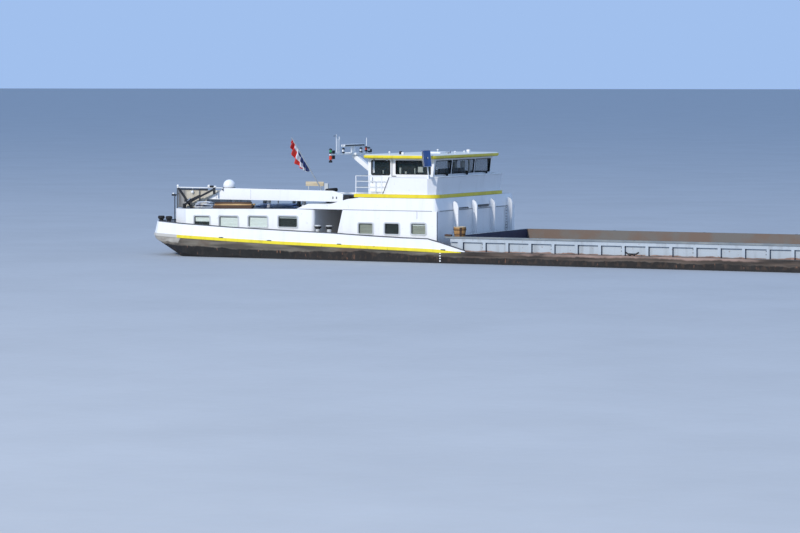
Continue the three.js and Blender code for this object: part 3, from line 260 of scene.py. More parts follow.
def coaming_paint_and_shade(name):
    """Pale blue-grey, with a darker cap, scuffs, rust at the foot and inside the hold, and painted shade on
    faces that look forward
    """
    f = Finish(name, 0.5)
    s, z = f.s, f.z
    base = f.blend((2.2, 3), 0.35, 0.7, (184, 193, 200), (166, 176, 184))
    base = f.blend((30, 5, (1, 1, 0.1)), 0.54, 0.8, base, GRIME, 0.4)
    cap = f.blend((16, 5), 0.4, 0.7, (116, 124, 128), (138, 142, 140))
    f.tone = f.patch(base, cap, f.ramp(z, 1.335, 1.345))
    foot = f.math("ADD", z, f.times(f.math("SUBTRACT", f.noise(8, 5), 0.5), 0.35))
    rust = f.blend((20, 4), 0.4, 0.7, (150, 120, 106), (104, 74, 60))
    f.over(rust, f.ramp(foot, 0.70, 0.66))
    # Painted shade: faces of the posts and panels that look forward, away from the light, are turned dark
    # blue-grey
    shaded = (52, 66, 88)
    f.over(shaded, f.ramp(f.ahead, 0.5, 0.7), f.window(s, 19.0, 99.1), f.window(z, 0.60, 1.15))
    worn = f.blend((7, 6), 0.42, 0.6, (114, 110, 105), (118, 100, 88))
    f.over(worn, f.ramp(f.aside, 0.5042, 0.5040), f.window(s, 18.74, 99.26), f.ramp(f.up, 0.9, 0.7))
    f.specks((70, 3), 0.68, 0.72, RUST, 0.6)
    return f.done(f.noise(18, 4), (0.4, 0.7), f.noise(9, 4), 0.15, 0.004)


def bollard_paint(name):
    """Pale bollards, dark from 1.68 to 1.84 m, on a worn base plate"""
    f = Finish(name, 0.5)
    f.tone = f.blend((30, 5), 0.45, 0.7, (202, 204, 202), (160, 157, 150))
    f.over((24, 24, 26), f.window(f.z, 1.68, 1.84))
    f.over((104, 98, 92), f.ramp(f.z, 0.98, 0.94))
    return f.done(f.noise(18, 4), (0.4, 0.7), f.noise(30, 4), 0.2, 0.002)


def board_paint(name):
    """Blue signal board on a pale stalk"""
    f = Finish(name, 0.4)
    blue = f.blend((9, 5), 0.4, 0.7, (20, 88, 160), (16, 66, 126))
    f.tone = f.patch(blue, (196, 198, 198), f.ramp(f.z, 5.16, 5.14))
    return f.done(f.noise(18, 4), (0.3, 0.5), f.noise(12, 4), 0.1, 0.002)


def worn_at_transom(f):
    """The yellow stripe starts forward of the quarter; aft of that it is bare"""
    f.over((196, 192, 182), f.ramp(f.s, 2.05, 1.95))


def grey_posts(f):
    """Rail posts grey, top rail white"""
    f.over((96, 98, 100), f.ramp(f.z, 3.77, 3.75))
    f.over((30, 31, 34), f.ramp(f.s, 1.32, 1.30))


def dark_lamp_posts(f):
    """The housings at the ends of the yard are black"""
    beside_yard = f.math("SUBTRACT", 1.0, f.window(f.z, 5.645, 5.735, 0.005))
    f.over((34, 36, 40), f.ramp(f.aside, 0.2195, 0.2205), beside_yard)


def shaded_end(f):
    """Painted shade: the inner face of the aft coaming end, which looks forward, is coloured dark blue"""
    f.over((28, 42, 74), f.ramp(f.ahead, 0.5, 0.7), f.ramp(f.s, 18.6, 18.7))


def glass_finish(name, tint, alpha):
    f = Finish(name, 0.06, Alpha=alpha, IOR=1.5)
    f.tone = f.patch(tint, linear(tint, 1.6), f.noise(3, 3))
    return f.done(f.noise(25, 4), (0.03, 0.12))


def metal_finish(name, base, roughness, dirt):
    f = Finish(name, roughness, Metallic=0.9)
    f.tone = f.blend((18, 6), 0.45, 0.7, base, dirt)
    return f.done(f.noise(30, 5), (roughness * 0.7, roughness * 1.4), f.noise(90, 3), 0.1, 0.001)


def cloth_finish(name, base, shade, threads=900.0, stains=0.3, roughness=0.85):
    """Woven cloth with slow stains and creases"""
    f = Finish(name, roughness, Sheen_Weight=0.15)
    f.tone = f.blend((9, 5), 0.35, 0.75, base, shade)
    f.specks((28, 4), 0.55, 0.75, GRIME, stains)
    return f.done(f.noise(40, 3), (roughness - 0.1, min(1.0, roughness + 0.1)), f.weave(threads, 24))


def stern_canvas_finish(name):
    """Beige wind screen, turned grey round the aft corner as painted shade"""
    f = Finish(name, 0.85, Sheen_Weight=0.1)
    beige = f.blend((11, 5, (1, 1, 0.3)), 0.35, 0.7, (212, 206, 190), (184, 176, 158))
    grey = f.blend((40, 4, (1, 1, 0.15)), 0.4, 0.6, (150, 150, 148), (106, 106, 106))
    # Painted shade: the canvas round the aft corner and across the stern, turned from the light, is made grey
    f.tone = f.patch(beige, grey, f.ramp(f.s, 1.95, 1.75))
    f.specks((30, 4), 0.55, 0.8, GRIME, 0.4)
    return f.done(height=f.weave(900, 20))


def timber_finish(name, light, dark):
    f = Finish(name, 0.75)
    grain = f.noise(60, 6, (0.12, 1, 1))
    f.tone = f.patch(light, dark, f.ramp(grain, 0.35, 0.65))
    return f.done(grain, (0.6, 0.95), grain, 0.4, 0.002)


# White paint has scuffed grey-green decks on the parts that are walked on
WHITE = worn_paint("white_ship_paint", (243, 243, 243), 0.32, (150, 146, 138), 0.12, 0.14, 0.12,
                   tops=(150, 156, 154))
TRIM_WHITE = worn_paint("white_fittings", FITTING_WHITE, 0.3, (140, 136, 130), 0.2, 0.2, 0.2)
YELLOW = worn_paint("yellow_edge_paint", (236, 214, 44), 0.35, (120, 104, 40), 0.3, 0.3, 0.3,
                    tops=(214, 214, 204))
STRIPE = worn_paint("yellow_stripe_paint", (238, 218, 48), 0.35, (120, 100, 40), 0.35, 0.3, 0.5,
                    change=worn_at_transom)
RAIL = worn_paint("terrace_rail_paint", (236, 236, 234), 0.35, GRIME, 0.2, 0.2, 0.2, change=grey_posts)
MAST = worn_paint("mast_paint", FITTING_WHITE, 0.3, GRIME, 0.15, 0.15, 0.1, change=dark_lamp_posts)
STAFF = worn_paint("weathered_staff", (142, 150, 158), 0.5, (96, 92, 86), 0.3, 0.3)
HOLD_END = worn_paint("hold_end_paint_and_shade", (146, 158, 168), 0.5, GRIME, 0.3, 0.3, 0.3, change=shaded_end)
HULL = hull_paint("hull_bottom_paint")
COAMING = coaming_paint_and_shade("coaming_grey_paint_and_shade")
BLACK = worn_paint("black_paint", (25, 26, 30), 0.4, (62, 62, 64), 0.3, 0.25, 0.15)
RUBBER_AND_SHADE = worn_paint("black_rubber_and_painted_shade", (22, 22, 24), 0.7, (80, 78, 74), 0.3, 0.2)
LINE = worn_paint("dark_grey_edge_and_shadow_line", (74, 78, 84), 0.5, (130, 128, 124), 0.3, 0.2)
SOFT_LINE = worn_paint("soft_grey_seam_and_shadow_line", (150, 152, 154), 0.5, (120, 118, 114), 0.3, 0.2)
FRAME = worn_paint("window_frame_grey", (200, 203, 203), 0.35, (120, 120, 118), 0.25, 0.2)
STEEL = metal_finish("greased_steel", (150, 152, 154), 0.35, (96, 90, 84))
CHROME = metal_finish("bright_steel", (214, 216, 218), 0.2, (150, 150, 150))
BRONZE = metal_finish("cast_bronze", (186, 150, 82), 0.35, (96, 92, 66))
DOME = worn_paint("dome_shell", (246, 246, 246), 0.22, (180, 178, 174), 0.15, 0.12)
PANE_DARK = glass_finish("door_glass", (20, 30, 34), 0.9)
GLAZING = glass_finish("wheelhouse_glass", (20, 44, 50), 0.22)
PANE = glass_finish("cabin_glass", (60, 84, 76), 0.08)
CONSOLE = worn_paint("console_plastic", (96, 98, 100), 0.55, (60, 60, 60), 0.3, 0.0)
BOARD = board_paint("board_blue_paint")
BOLLARD = bollard_paint("bollard_paint")
BLIND_PALE = worn_paint("pale_blind", (238, 246, 236), 0.7, (196, 204, 188), 0.2, 0.1)
BLIND_GREY = worn_paint("grey_blind", (158, 162, 146), 0.7, (110, 112, 100), 0.3, 0.1)
CANVAS = stern_canvas_finish("terrace_canvas_cloth")
COVER = cloth_finish("pale_cover_cloth", (222, 228, 236), (160, 174, 196))
NAVY = cloth_finish("navy_cloth", (38, 48, 84), (24, 30, 56))
TARP = cloth_finish("blue_tarpaulin_cloth", (52, 92, 146), (28, 52, 92), 700)
FLAG_RED = cloth_finish("flag_red_cloth", (222, 58, 44), (186, 40, 38), 1200, 0.1)
FLAG_WHITE = cloth_finish("flag_white_cloth", (236, 236, 238), (196, 200, 210), 1200, 0.1)
FLAG_BLUE = cloth_finish("flag_blue_cloth", (38, 58, 116), (22, 34, 76), 1200, 0.1)
SEAT = cloth_finish("black_seat_leather", (30, 30, 33), (18, 18, 20), 400, 0.1, 0.5)
TIMBER = timber_finish("weathered_boards", (206, 172, 122), (150, 112, 70))
DARK_TIMBER = timber_finish("dark_boards", (86, 62, 46), (44, 34, 28))
STAVE = timber_finish("tub_staves", (186, 142, 84), (112, 72, 38))
BOARD_BEIGE = timber_finish("beige_panel", (214, 200, 172), (184, 168, 138))
RED_LAMP = worn_paint("red_lamp_lens", (206, 70, 40), 0.15, (120, 30, 20), 0.3, 0.0)
GREEN_LAMP = worn_paint("green_lamp_lens", (40, 150, 90), 0.15, (20, 80, 50), 0.3, 0.0)

NODE_FINISH = {
    "white_paint": WHITE, "yellow_paint": YELLOW, "hull_black": HULL, "coaming_grey": COAMING,
    "black_paint": BLACK, "bare_steel": STEEL, "bronze": BRONZE, "dome_white": DOME,
    "window_glass": GLAZING, "console_grey": CONSOLE, "seat_black": SEAT, "board_blue": BOARD,
    "canvas": CANVAS, "flag_cloth": FLAG_RED, "tarpaulin_blue": TARP, "timber": TIMBER,
}
NODE_OWN_FINISH = {
    "rubbing_strake": STRIPE, "radar_mast": MAST, "radar_scanner": TRIM_WHITE, "terrace_rail": RAIL,
    "flagstaff": STAFF, "coaming_aft": HOLD_END,
    "passage_bollards_starboard": BOLLARD, "passage_bollards_port": BOLLARD,
}


def dress_nodes():
    """Gives every CAD node the finish of its record slot, or its own"""
    for part in frame["record"]["subparts"]:
        finish = NODE_OWN_FINISH.get(part["node"], NODE_FINISH[part["material_slot"]])
        materials = frame["nodes"][part["node"]].data.materials
        materials.clear()
        materials.append(finish)


# Mesh building


def span(middle, half):
    return (middle - half, middle + half)


def around(u, v, half_u, half_v):
    """Rectangle round a middle"""
    return (*span(u, half_u), *span(v, half_v))


def beside(side, inner, outer):
    """Range across the ship on one side of it"""
    return sorted((side * inner, side * outer))


def grown(rect, by):
    return (rect[0] - by, rect[1] + by, rect[2] - by, rect[3] + by)


def ranges(a, b):
    """Ranges of the box between two corners"""
    return [tuple(sorted(pair)) for pair in zip(a, b)]


def rounded(rect, radius, steps=3):
    """Outline of a rectangle with round corners"""
    u0, u1, v0, v1 = rect
    corners = [(u1 - radius, v0 + radius, -90), (u1 - radius, v1 - radius, 0),
               (u0 + radius, v1 - radius, 90), (u0 + radius, v0 + radius, 180)]
    points = []
    for cu, cv, start in corners:
        for i in range(steps + 1):
            angle = radians(start + 90 * i / steps)
            points.append((cu + radius * cos(angle), cv + radius * sin(angle)))
    return points


def disc(radius, height, foot=0.0):
    """Profile of a drum, for lathe"""
    return [(0, foot), (radius, foot), (radius, height), (0, height)]


def hoop(inner, outer, height, foot=0.0):
    """Profile of a ring, for lathe"""
    return [(inner, foot), (outer, foot), (outer, height), (inner, height)]


def mesh_object(bm, name, materials):
    mesh = bpy.data.meshes.new(name)
    bm.to_mesh(mesh)
    bm.free()
    for material in materials:
        mesh.materials.append(material)
    return linked(name, mesh)


class Shape:
    """Solids in ship metres, gathered into the mesh of one piece"""

    def __init__(self, *materials):
        self.bm = bmesh.new()
        self.materials = materials
        self.slot = 0

    def use(self, material):
        self.slot = self.materials.index(material)
        return self

    def skin(self, rings, around=True, caps=True):
        """Faces between rings of equally many points"""
        rows = [[self.bm.verts.new(point) for point in ring] for ring in rings]
        count = len(rows[0])
        faces = []
        for low, high in zip(rows, rows[1:]):
            for i in range(count if around else count - 1):
                j = (i + 1) % count
                faces.append((low[i], low[j], high[j], high[i]))
        if caps:
            faces += [rows[0][::-1], rows[-1]]
        for corners in faces:
            self.bm.faces.new(corners).material_index = self.slot
        return rows

    def closed(self, rings):
        """Rings joined round into a closed skin"""
        rows = self.skin(rings + [rings[0]], caps=False)
        bmesh.ops.remove_doubles(self.bm, verts=[vert for row in rows for vert in row], dist=1e-5)
        return self

    def box(self, x, y, z):
        ring = [(x[0], y[0]), (x[1], y[0]), (x[1], y[1]), (x[0], y[1])]
        self.skin([[(a, b, height) for a, b in ring] for height in z])
        return self

    def side_profile(self, points, y):
        self.skin([[(a, across, b) for a, b in points] for across in y])
        return self

    def tube(self, path, radius, sides=8):
        """A round bar along a path"""
        points = [Vector(point) for point in path]
        rings = []
        side = None
        for i, point in enumerate(points):
            before, after = points[max(i - 1, 0)], points[min(i + 1, len(points) - 1)]
            along = (after - before).normalized()
            if side is None:
                side = along.orthogonal().normalized()
            side = (side - along * side.dot(along)).normalized()
            other = along.cross(side)
            turns = [2 * pi * k / sides for k in range(sides)]
            rings.append([point + (side * cos(t) + other * sin(t)) * radius for t in turns])
        self.skin(rings)
        return self

    def handle(self, foot, head, out, radius):
        """A bar bent out between two points"""
        foot, head, out = Vector(foot), Vector(head), Vector(out)
        return self.tube([foot, foot + out, head + out, head], radius)

    def lathe(self, profile, centre, axis=(0, 0, 1), sides=16):
        """A closed profile of radius and height turned round an axis"""
        axis = Vector(axis).normalized()
        side = axis.orthogonal().normalized()
        other = axis.cross(side)
        rings = []
        for k in range(sides):
            turn = 2 * pi * k / sides
            out = side * cos(turn) + other * sin(turn)
            rings.append([Vector(centre) + out * r + axis * h for r, h in profile])
        return self.closed(rings)

    def frame(self, place, rect, outward, inward, depth, radius=0.08):
        """A window frame round a rectangle; place turns u, v, w into a ship point"""
        w0, w1 = depth
        chamfer = 0.015
        outer = rounded(grown(rect, outward), radius + outward)
        front = rounded(grown(rect, outward - chamfer), radius + outward - chamfer)
        lip = rounded(grown(rect, chamfer - inward), radius)
        inner = rounded(grown(rect, -inward), radius)
        levels = [(outer, w0), (outer, w1 - chamfer), (front, w1), (lip, w1), (inner, w1 - chamfer),
                  (inner, w0)]
        return self.closed([[place(u, v, w) for u, v in points] for points, w in levels])

    def plate(self, place, rect, depth, radius=0.06):
        points = rounded(rect, radius)
        self.skin([[place(u, v, w) for u, v in points] for w in depth])
        return self

    def slats(self, place, rect, w):
        """A blind: a folded strip whose slats lean alternately"""
        pitch, thick, fold = 0.075, 0.012, 0.02
        u0, u1, v0, v1 = rect
        count = max(2, round((v1 - v0) / pitch)) * 2
        front = [(v0 + (v1 - v0) * i / count, w + fold * (i % 2)) for i in range(count + 1)]
        back = [(v, depth - thick) for v, depth in reversed(front)]
        self.skin([[place(u, v, depth) for v, depth in front + back] for u in (u0, u1)])
        return self

    def piece(self, name, slot=None, bevel=0.0, body="hull", sharp=38):
        """Turns the mesh into the frame's metres and makes the object, riding on its body"""
        bm = self.bm
        bmesh.ops.recalc_face_normals(bm, faces=bm.faces)
        limit = radians(sharp)
        if bevel:
            edges = [e for e in bm.edges if len(e.link_faces) == 2 and e.calc_face_angle(0) > limit]
            bmesh.ops.bevel(bm, geom=edges, offset=bevel, segments=1, affect="EDGES", clamp_overlap=True,
                            material=-1)
        for vert in bm.verts:
            vert.co = model(vert.co)
        for face in bm.faces:
            face.smooth = True
        for edge in bm.edges:
            edge.smooth = len(edge.link_faces) == 2 and edge.calc_face_angle(0) < limit
        made = mesh_object(bm, name, self.materials)
        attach(made, body)
        return made


def sheet_mesh(name, rows, materials, thick, pick=None):
    """Thin closed cloth over a grid of points; pick gives a face's material by its row and column"""
    bm = bmesh.new()
    last_row, last = len(rows) - 1, len(rows[0]) - 1
    points = [[Vector(p) for p in row] for row in rows]

    def normal(i, j):
        a = points[min(i + 1, last_row)][j] - points[max(i - 1, 0)][j]
        b = points[i][min(j + 1, last)] - points[i][max(j - 1, 0)]
        across = a.cross(b)
        return across.normalized() if across.length else Vector((0, 0, 1))

    top, under = [[[bm.verts.new(model(point + normal(i, j) * shift * thick)) for j, point in enumerate(row)]
                   for i, row in enumerate(points)] for shift in (0.5, -0.5)]

    def face(corners, i, j):
        made = bm.faces.new(corners)
        made.smooth = True
        made.material_index = pick(i, j) if pick else 0

    for i in range(last_row):
        for j in range(last):
            face((top[i][j], top[i][j + 1], top[i + 1][j + 1], top[i + 1][j]), i, j)
            face((under[i + 1][j], under[i + 1][j + 1], under[i][j + 1], under[i][j]), i, j)
    for i in range(last_row):
        for j in (0, last):
            face((top[i][j], top[i + 1][j], under[i + 1][j], under[i][j]), i, min(j, last - 1))
    for j in range(last):
        for i in (0, last_row):
            face((top[i][j], under[i][j], under[i][j + 1], top[i][j + 1]), min(i, last_row - 1), j)
    bmesh.ops.recalc_face_normals(bm, faces=bm.faces)
    made = mesh_object(bm, name, materials)
    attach(made, "hull")
    return made


# Places shared with the CAD

# Place from the transom, top of the stern bulwark, middle of the yellow strake
SHEER = [(0.0, 1.90, 1.20), (0.3, 1.89, 1.19), (2.4, 1.82, 1.14), (5.5, 1.68, 1.02), (8.6, 1.58, 0.92),
         (11.7, 1.49, 0.85), (13.9, 1.39, 0.80), (16.0, 1.32, 0.75), (17.6, 1.29, 0.71), (18.3, 1.12, 0.68),
         (19.8, 0.70, 0.63)]
HALF_BEAM = 5.695
GUNWALE = 0.63
HOUSE_HALF = 5.12
KNUCKLE = 2.76
FORE_FRONT = 17.9
AFT_FACE = 1.27
BRIDGE_TOP = 3.62
SILL, HEAD = 4.68, 5.45
CABIN_HALF = 3.80
ROOF_TOP = 5.773
PLATFORM_TOP = 3.263
PLATFORM_SIDE = -4.14
TERRACE_RAIL_Y, TERRACE_RAIL_TOP = -4.25, 3.82
GANGWAY = 5.44
POST_PITCH = 1.335
COAMING_TOP = 1.425
HOLD_FLOOR = -2.56
# Foot and rake of the wheelhouse's front and of the passage doors
BRIDGE_FRONT, BRIDGE_RAKE = (17.03, 4.62), 0.109
DOOR_FOOT, DOOR_RAKE = (11.72, 0.85), 0.246
BOW_EDGE = [(101.55, HALF_BEAM), (104, 5.62), (106.2, 5.25), (107.8, 4.60), (109, 3.70), (109.6, 2.70),
            (109.82, 1.60)]
FORE_DECK = 1.75
WINDLASS_AXIS = (106, FORE_DECK + 0.6)
SCUPPERS = (4.92, 7.95, 12.27, 18.53)


def sheer(s, column):
    for a, b in zip(SHEER, SHEER[1:]):
        if s <= b[0]:
            t = max(0.0, (s - a[0]) / (b[0] - a[0]))
            return a[column] + t * (b[column] - a[column])
    return SHEER[-1][column]


def aft_roof(s):
    return 2.62 + (min(s, 9.3) - AFT_FACE) * 0.015


# Faces that fittings are set on: u and v lie in the face, w points out of it


def on_side(side, half=HOUSE_HALF):
    return lambda u, v, w: (u, side * (half + w), v)


def on_stern(u, v, w):
    return (AFT_FACE - w, u, v)


def on_bridge_front(u, v, w):
    return (BRIDGE_FRONT[0] + (v - BRIDGE_FRONT[1]) * BRIDGE_RAKE + w, u, v)


def on_bridge_back(u, v, w):
    return (13.10 - w, u, v)


def on_passage_door(side):
    return lambda u, v, w: (DOOR_FOOT[0] + (v - DOOR_FOOT[1]) * DOOR_RAKE - w, side * u, v)


# Floor and light

FLOOR_OPENING = ((18.4, 104.6), 5.12)
FLOOR_REACH = 4000
SKY, SKY_STRENGTH = (0.42, 0.62, 1.0, 1), 0.85
SUN_PLACE, SUN_AIM = (-25, -330, 175), (25, 0, 1)
SUN_SIZE, SUN_WATTS, SUN_TONE = 24, 11500, (1.0, 0.96, 0.90)


def studio():
    """Floor at the waterline, open inside the hull so that the hold shows down to its bottom"""
    floor = Shape(worn_paint("pale_floor", (176, 180, 184), 0.75, (164, 167, 170), 0.15, 0.0))
    (aft, fore), half = FLOOR_OPENING
    far = FLOOR_REACH
    for x, y in (((-far, aft), (-far, far)), ((fore, far), (-far, far)),
                 ((aft, fore), (-far, -half)), ((aft, fore), (half, far))):
        floor.box(x, y, (-0.06, 0.0))
    floor.piece("studio_floor")
    world = bpy.data.worlds.new("studio")
    bpy.context.scene.world = world
    world.use_nodes = True
    background = world.node_tree.nodes["Background"]
    background.inputs[0].default_value = SKY
    background.inputs[1].default_value = SKY_STRENGTH
    bpy.context.scene.view_settings.view_transform = "Standard"


def sun():
    """The one soft light, from the starboard quarter"""
    data = bpy.data.lights.new("key", "AREA")
    data.size = SUN_SIZE * SCALE
    data.energy = SUN_WATTS
    data.color = SUN_TONE
    light = linked("key", data)
    light.location = model(SUN_PLACE)
    aim = model(SUN_AIM) - light.location
    light.rotation_euler = aim.to_track_quat("-Z", "Y").to_euler()


# Hull fittings


def edge_rail(name, path, inner, outer):
    """Dark rail on a bulwark; the path holds its points and the direction across at each"""
    ring = [(inner, -0.02), (outer, -0.02), (outer, 0.03), (inner, 0.03)]
    rail = Shape(LINE)
    rail.skin([[point + across * a + Vector((0, 0, b)) for a, b in ring] for point, across in path])
    rail.piece(name, "black_paint", 0.008)


def stern_rail():
    """From the port fore end round the transom to the starboard fore end"""
    half = [(0.0, -4.55), (0.30, -4.85), (2.40, -HALF_BEAM)] + [(row[0], -HALF_BEAM) for row in SHEER[3:]]
    path = []
    for s, y in [(s, -y) for s, y in reversed(half)] + half:
        inward = 0.14 * max(0.0, 1 - s / 8) + 0.03
        side = copysign(1, y)
        aft = inward if s < 0.1 else inward * 0.3 if s < 2 else 0
        point = Vector((s + aft, y - side * inward, sheer(s, 1) + 0.005))
        path.append((point, Vector((0, 1, 0)) if point.x > 0.25 else Vector((0.6, 0.8 * side, 0))))
    edge_rail("bulwark_cap_rail", path, -0.055, 0.055)


def bow_rail():
    edge = [Vector((s, -y, 0)) for s, y in BOW_EDGE]
    edge += [Vector((point.x, -point.y, 0)) for point in reversed(edge)]
    path = []
    for i, point in enumerate(edge):
        along = (edge[min(i + 1, len(edge) - 1)] - edge[max(i - 1, 0)]).normalized()
        out = Vector((along.y, -along.x, 0))
        top = 2.55 + 0.5 * max(0.0, (point.x - 101.5) / 8.5)
        path.append((point + out * 0.0312 * max(0.0, point.x - 103) + Vector((0, 0, top)), out))
    edge_rail("bow_cap_rail", path, -0.10, -0.006)


def hull_side_details():
    """Outlets with a lip, draught marks without numbers, weld beads and a doubled strip along the hold"""
    outlets, marks, beads = Shape(RUBBER_AND_SHADE, FRAME), Shape(TRIM_WHITE), Shape(HULL)
    for side in SIDES:
        place = on_side(side, HALF_BEAM - 0.02)
        for s in SCUPPERS:
            rect = around(s, sheer(s, 2) + 0.03, 0.13, 0.045)
            outlets.use(RUBBER_AND_SHADE).plate(place, rect, (0, 0.05), 0.03)
            outlets.use(FRAME).frame(place, rect, 0.02, 0.0, (0, 0.052), 0.03)
        place = on_side(side, HALF_BEAM - 0.01)
        for s in (18.35, 100.2):
            for i in range(4):
                marks.plate(place, around(s, 0.12 + 0.14 * i, 0.045, 0.03), (0, 0.018), 0.01)
        place = on_side(side, HALF_BEAM - 0.012)
        for i in range(17):
            beads.plate(place, (*span(20.4 + 4.7 * i, 0.012), -0.1, GUNWALE - 0.04), (0, 0.022), 0.004)
        beads.plate(place, (19.9, 99.0, GUNWALE - 0.16, GUNWALE - 0.03), (0, 0.03), 0.01)
    outlets.piece("hull_scuppers", "black_paint")
    marks.piece("draught_marks", "white_paint")
    beads.piece("hull_weld_beads", "hull_black")


def side_deck_gear():
    """A horned cleat and pairs of low bollards on the gangways beside the hold"""
    gear = Shape(BLACK)
    cleat = 29.35
    horn, foot = [(0, 0.10), (0.22, 0.11), (0.38, 0.20)], [(0.12, -0.02), (0.12, 0.11)]
    bollard = [(0, 0), (0.075, 0), (0.075, 0.27), (0.11, 0.30), (0.11, 0.35), (0.09, 0.38), (0, 0.38)]
    for side in SIDES:
        for end in (-1, 1):
            for bar in (horn, foot):
                gear.tube([(cleat + end * along, side * (GANGWAY + 0.03), GUNWALE + up) for along, up in bar],
                          0.045)
        for i in range(4):
            s, y = 48.0 + 15 * i, side * GANGWAY
            gear.box(span(s, 0.35), span(y, 0.13), (GUNWALE - 0.01, GUNWALE + 0.03))
            for shift in (-0.2, 0.2):
                gear.lathe(bollard, (s + shift, y, GUNWALE + 0.02))
    gear.piece("side_deck_bollards", "black_paint", 0.006)


def coaming_details():
    """Paired drain plugs on every third panel, weld lines on the cap and its worn aft ends"""
    plugs, ends = Shape(RUBBER_AND_SHADE, COAMING), Shape(COAMING, DARK_TIMBER)
    for side in SIDES:
        plugs.use(RUBBER_AND_SHADE)
        for i in range(0, 60, 3):
            for z in (0.86, 1.03):
                rect = around(20.62 + POST_PITCH * i, z, 0.035, 0.03)
                plugs.plate(on_side(side, 5.115), rect, (0, 0.03), 0.02)
        plugs.use(COAMING)
        for i in range(14):
            weld = span(24 + 4 * POST_PITCH * i, 0.02)
            plugs.box(weld, beside(side, 5.05, 5.33), (COAMING_TOP, COAMING_TOP + 0.02))
        cap = [(18.42, 1.36), (18.76, 1.345), (18.76, COAMING_TOP), (18.46, COAMING_TOP)]
        ends.side_profile(cap, beside(side, 5.06, 5.31))
    ends.use(DARK_TIMBER).box((18.42, 18.80), (-5.28, -5.10), (1.435, 1.54))
    plugs.piece("coaming_plugs", "coaming_grey")
    ends.piece("coaming_cap_ends", "coaming_grey", 0.01)


def bow_gear():
    """Flanges and brake wheels of the windlass, deck vents, and ribs and handles on the hatch"""
    gear = Shape(BLACK, STEEL, TRIM_WHITE)
    s, z = WINDLASS_AXIS
    vent = [(0, 0), (0.1, 0), (0.1, 0.4), (0.22, 0.43), (0.24, 0.5), (0.16, 0.57), (0, 0.59)]
    for side in SIDES:
        gear.use(BLACK)
        for y, radius in ((0.79, 0.41), (1.37, 0.41), (1.60, 0.26), (1.88, 0.26)):
            gear.lathe(hoop(radius - 0.12, radius, 0.04), (s, side * y, z), (0, side, 0), 28)
        y = side * 1.1
        gear.use(STEEL).lathe(hoop(0.18, 0.22, 0.04), (s - 0.55, y, z + 0.25), (-1, 0, 0), 28)
        for spoke in (Vector((0, 0.2, 0)), Vector((0, 0, 0.2))):
            centre = Vector((s - 0.57, y, z + 0.25))
            gear.tube([centre - spoke, centre + spoke], 0.018, 6)
        gear.tube([(s - 0.58, y, z + 0.25), (s - 0.3, y, z + 0.16)], 0.025)
        for at in (101.9, 103.4):
            gear.use(TRIM_WHITE).lathe(vent, (at, side * 3.4, FORE_DECK - 0.01), sides=24)
    gear.piece("bow_deck_gear", "black_paint")
    hatch = Shape(COAMING, STEEL)
    for rib in (101.8, 102.75, 103.7):
        hatch.box(span(rib, 0.03), (-1.24, 1.24), (1.875, 1.915))
    for y in (-0.7, 0.7):
        hatch.use(STEEL).handle((104.3, y - 0.12, 1.87), (104.3, y + 0.12, 1.87), (0, 0, 0.07), 0.018)
    hatch.piece("hatch_ribs", "coaming_grey", body="bow_hatch")


def hold_details():
    """Plate seams on the hold's floor, wear strips on its sides, and a ladder at each end"""
    seams = Shape(STEEL, LINE)
    for i in range(16):
        seams.box(span(22.0 + 5.0 * i, 0.02), (-5.0, 5.0), (HOLD_FLOOR, HOLD_FLOOR + 0.025))
    for side in SIDES:
        for z in (-1.4, -0.2):
            seams.box((19.0, 99.0), beside(side, 5.05, 5.0), span(z, 0.05))
    seams.use(LINE)
    for s, y, to_wall in ((18.86, -4.2, -0.24), (99.12, 4.2, 0.24)):
        for rail in span(y, 0.18):
            seams.tube([(s, rail, HOLD_FLOOR + 0.01), (s, rail, 1.2)], 0.025)
        for i in range(12):
            seams.tube([(s, rail, -2.3 + 0.3 * i) for rail in span(y, 0.18)], 0.018, 6)
        for z in (-2.0, 0.4):
            seams.box(sorted((s, s + to_wall)), span(y, 0.03), span(z, 0.03))
    seams.piece("hold_details", "hull_black")


# Cabin windows

# Share of the height, counted from the head, down to which each blind hangs; where none hangs, a dark plate
# stands for the unlit room behind the glass: painted shade
BLINDS_AND_SHADE_PLATES = {
    "half": [(0.52, BLIND_PALE), (1.0, RUBBER_AND_SHADE)],
    "pale": [(1.0, BLIND_PALE)],
    "strip": [(0.22, BLIND_PALE), (1.0, RUBBER_AND_SHADE)],
    "grey": [(1.0, BLIND_GREY)],
    "dark": [(1.0, RUBBER_AND_SHADE)],
    "grey_strip": [(0.24, BLIND_PALE), (1.0, BLIND_GREY)],
}
CABIN_WINDOWS = {
    "aft": [((2.85, 3.90, 1.62, 2.28), "half"), ((4.45, 5.70, 1.64, 2.30), "pale"),
            ((6.30, 7.55, 1.67, 2.33), "pale"), ((8.18, 9.42, 1.70, 2.36), "strip")],
    "fore": [((13.13, 14.06, 1.42, 2.07), "grey"), ((14.72, 15.65, 1.44, 2.09), "dark"),
             ((16.32, 17.25, 1.46, 2.11), "grey_strip")],
}


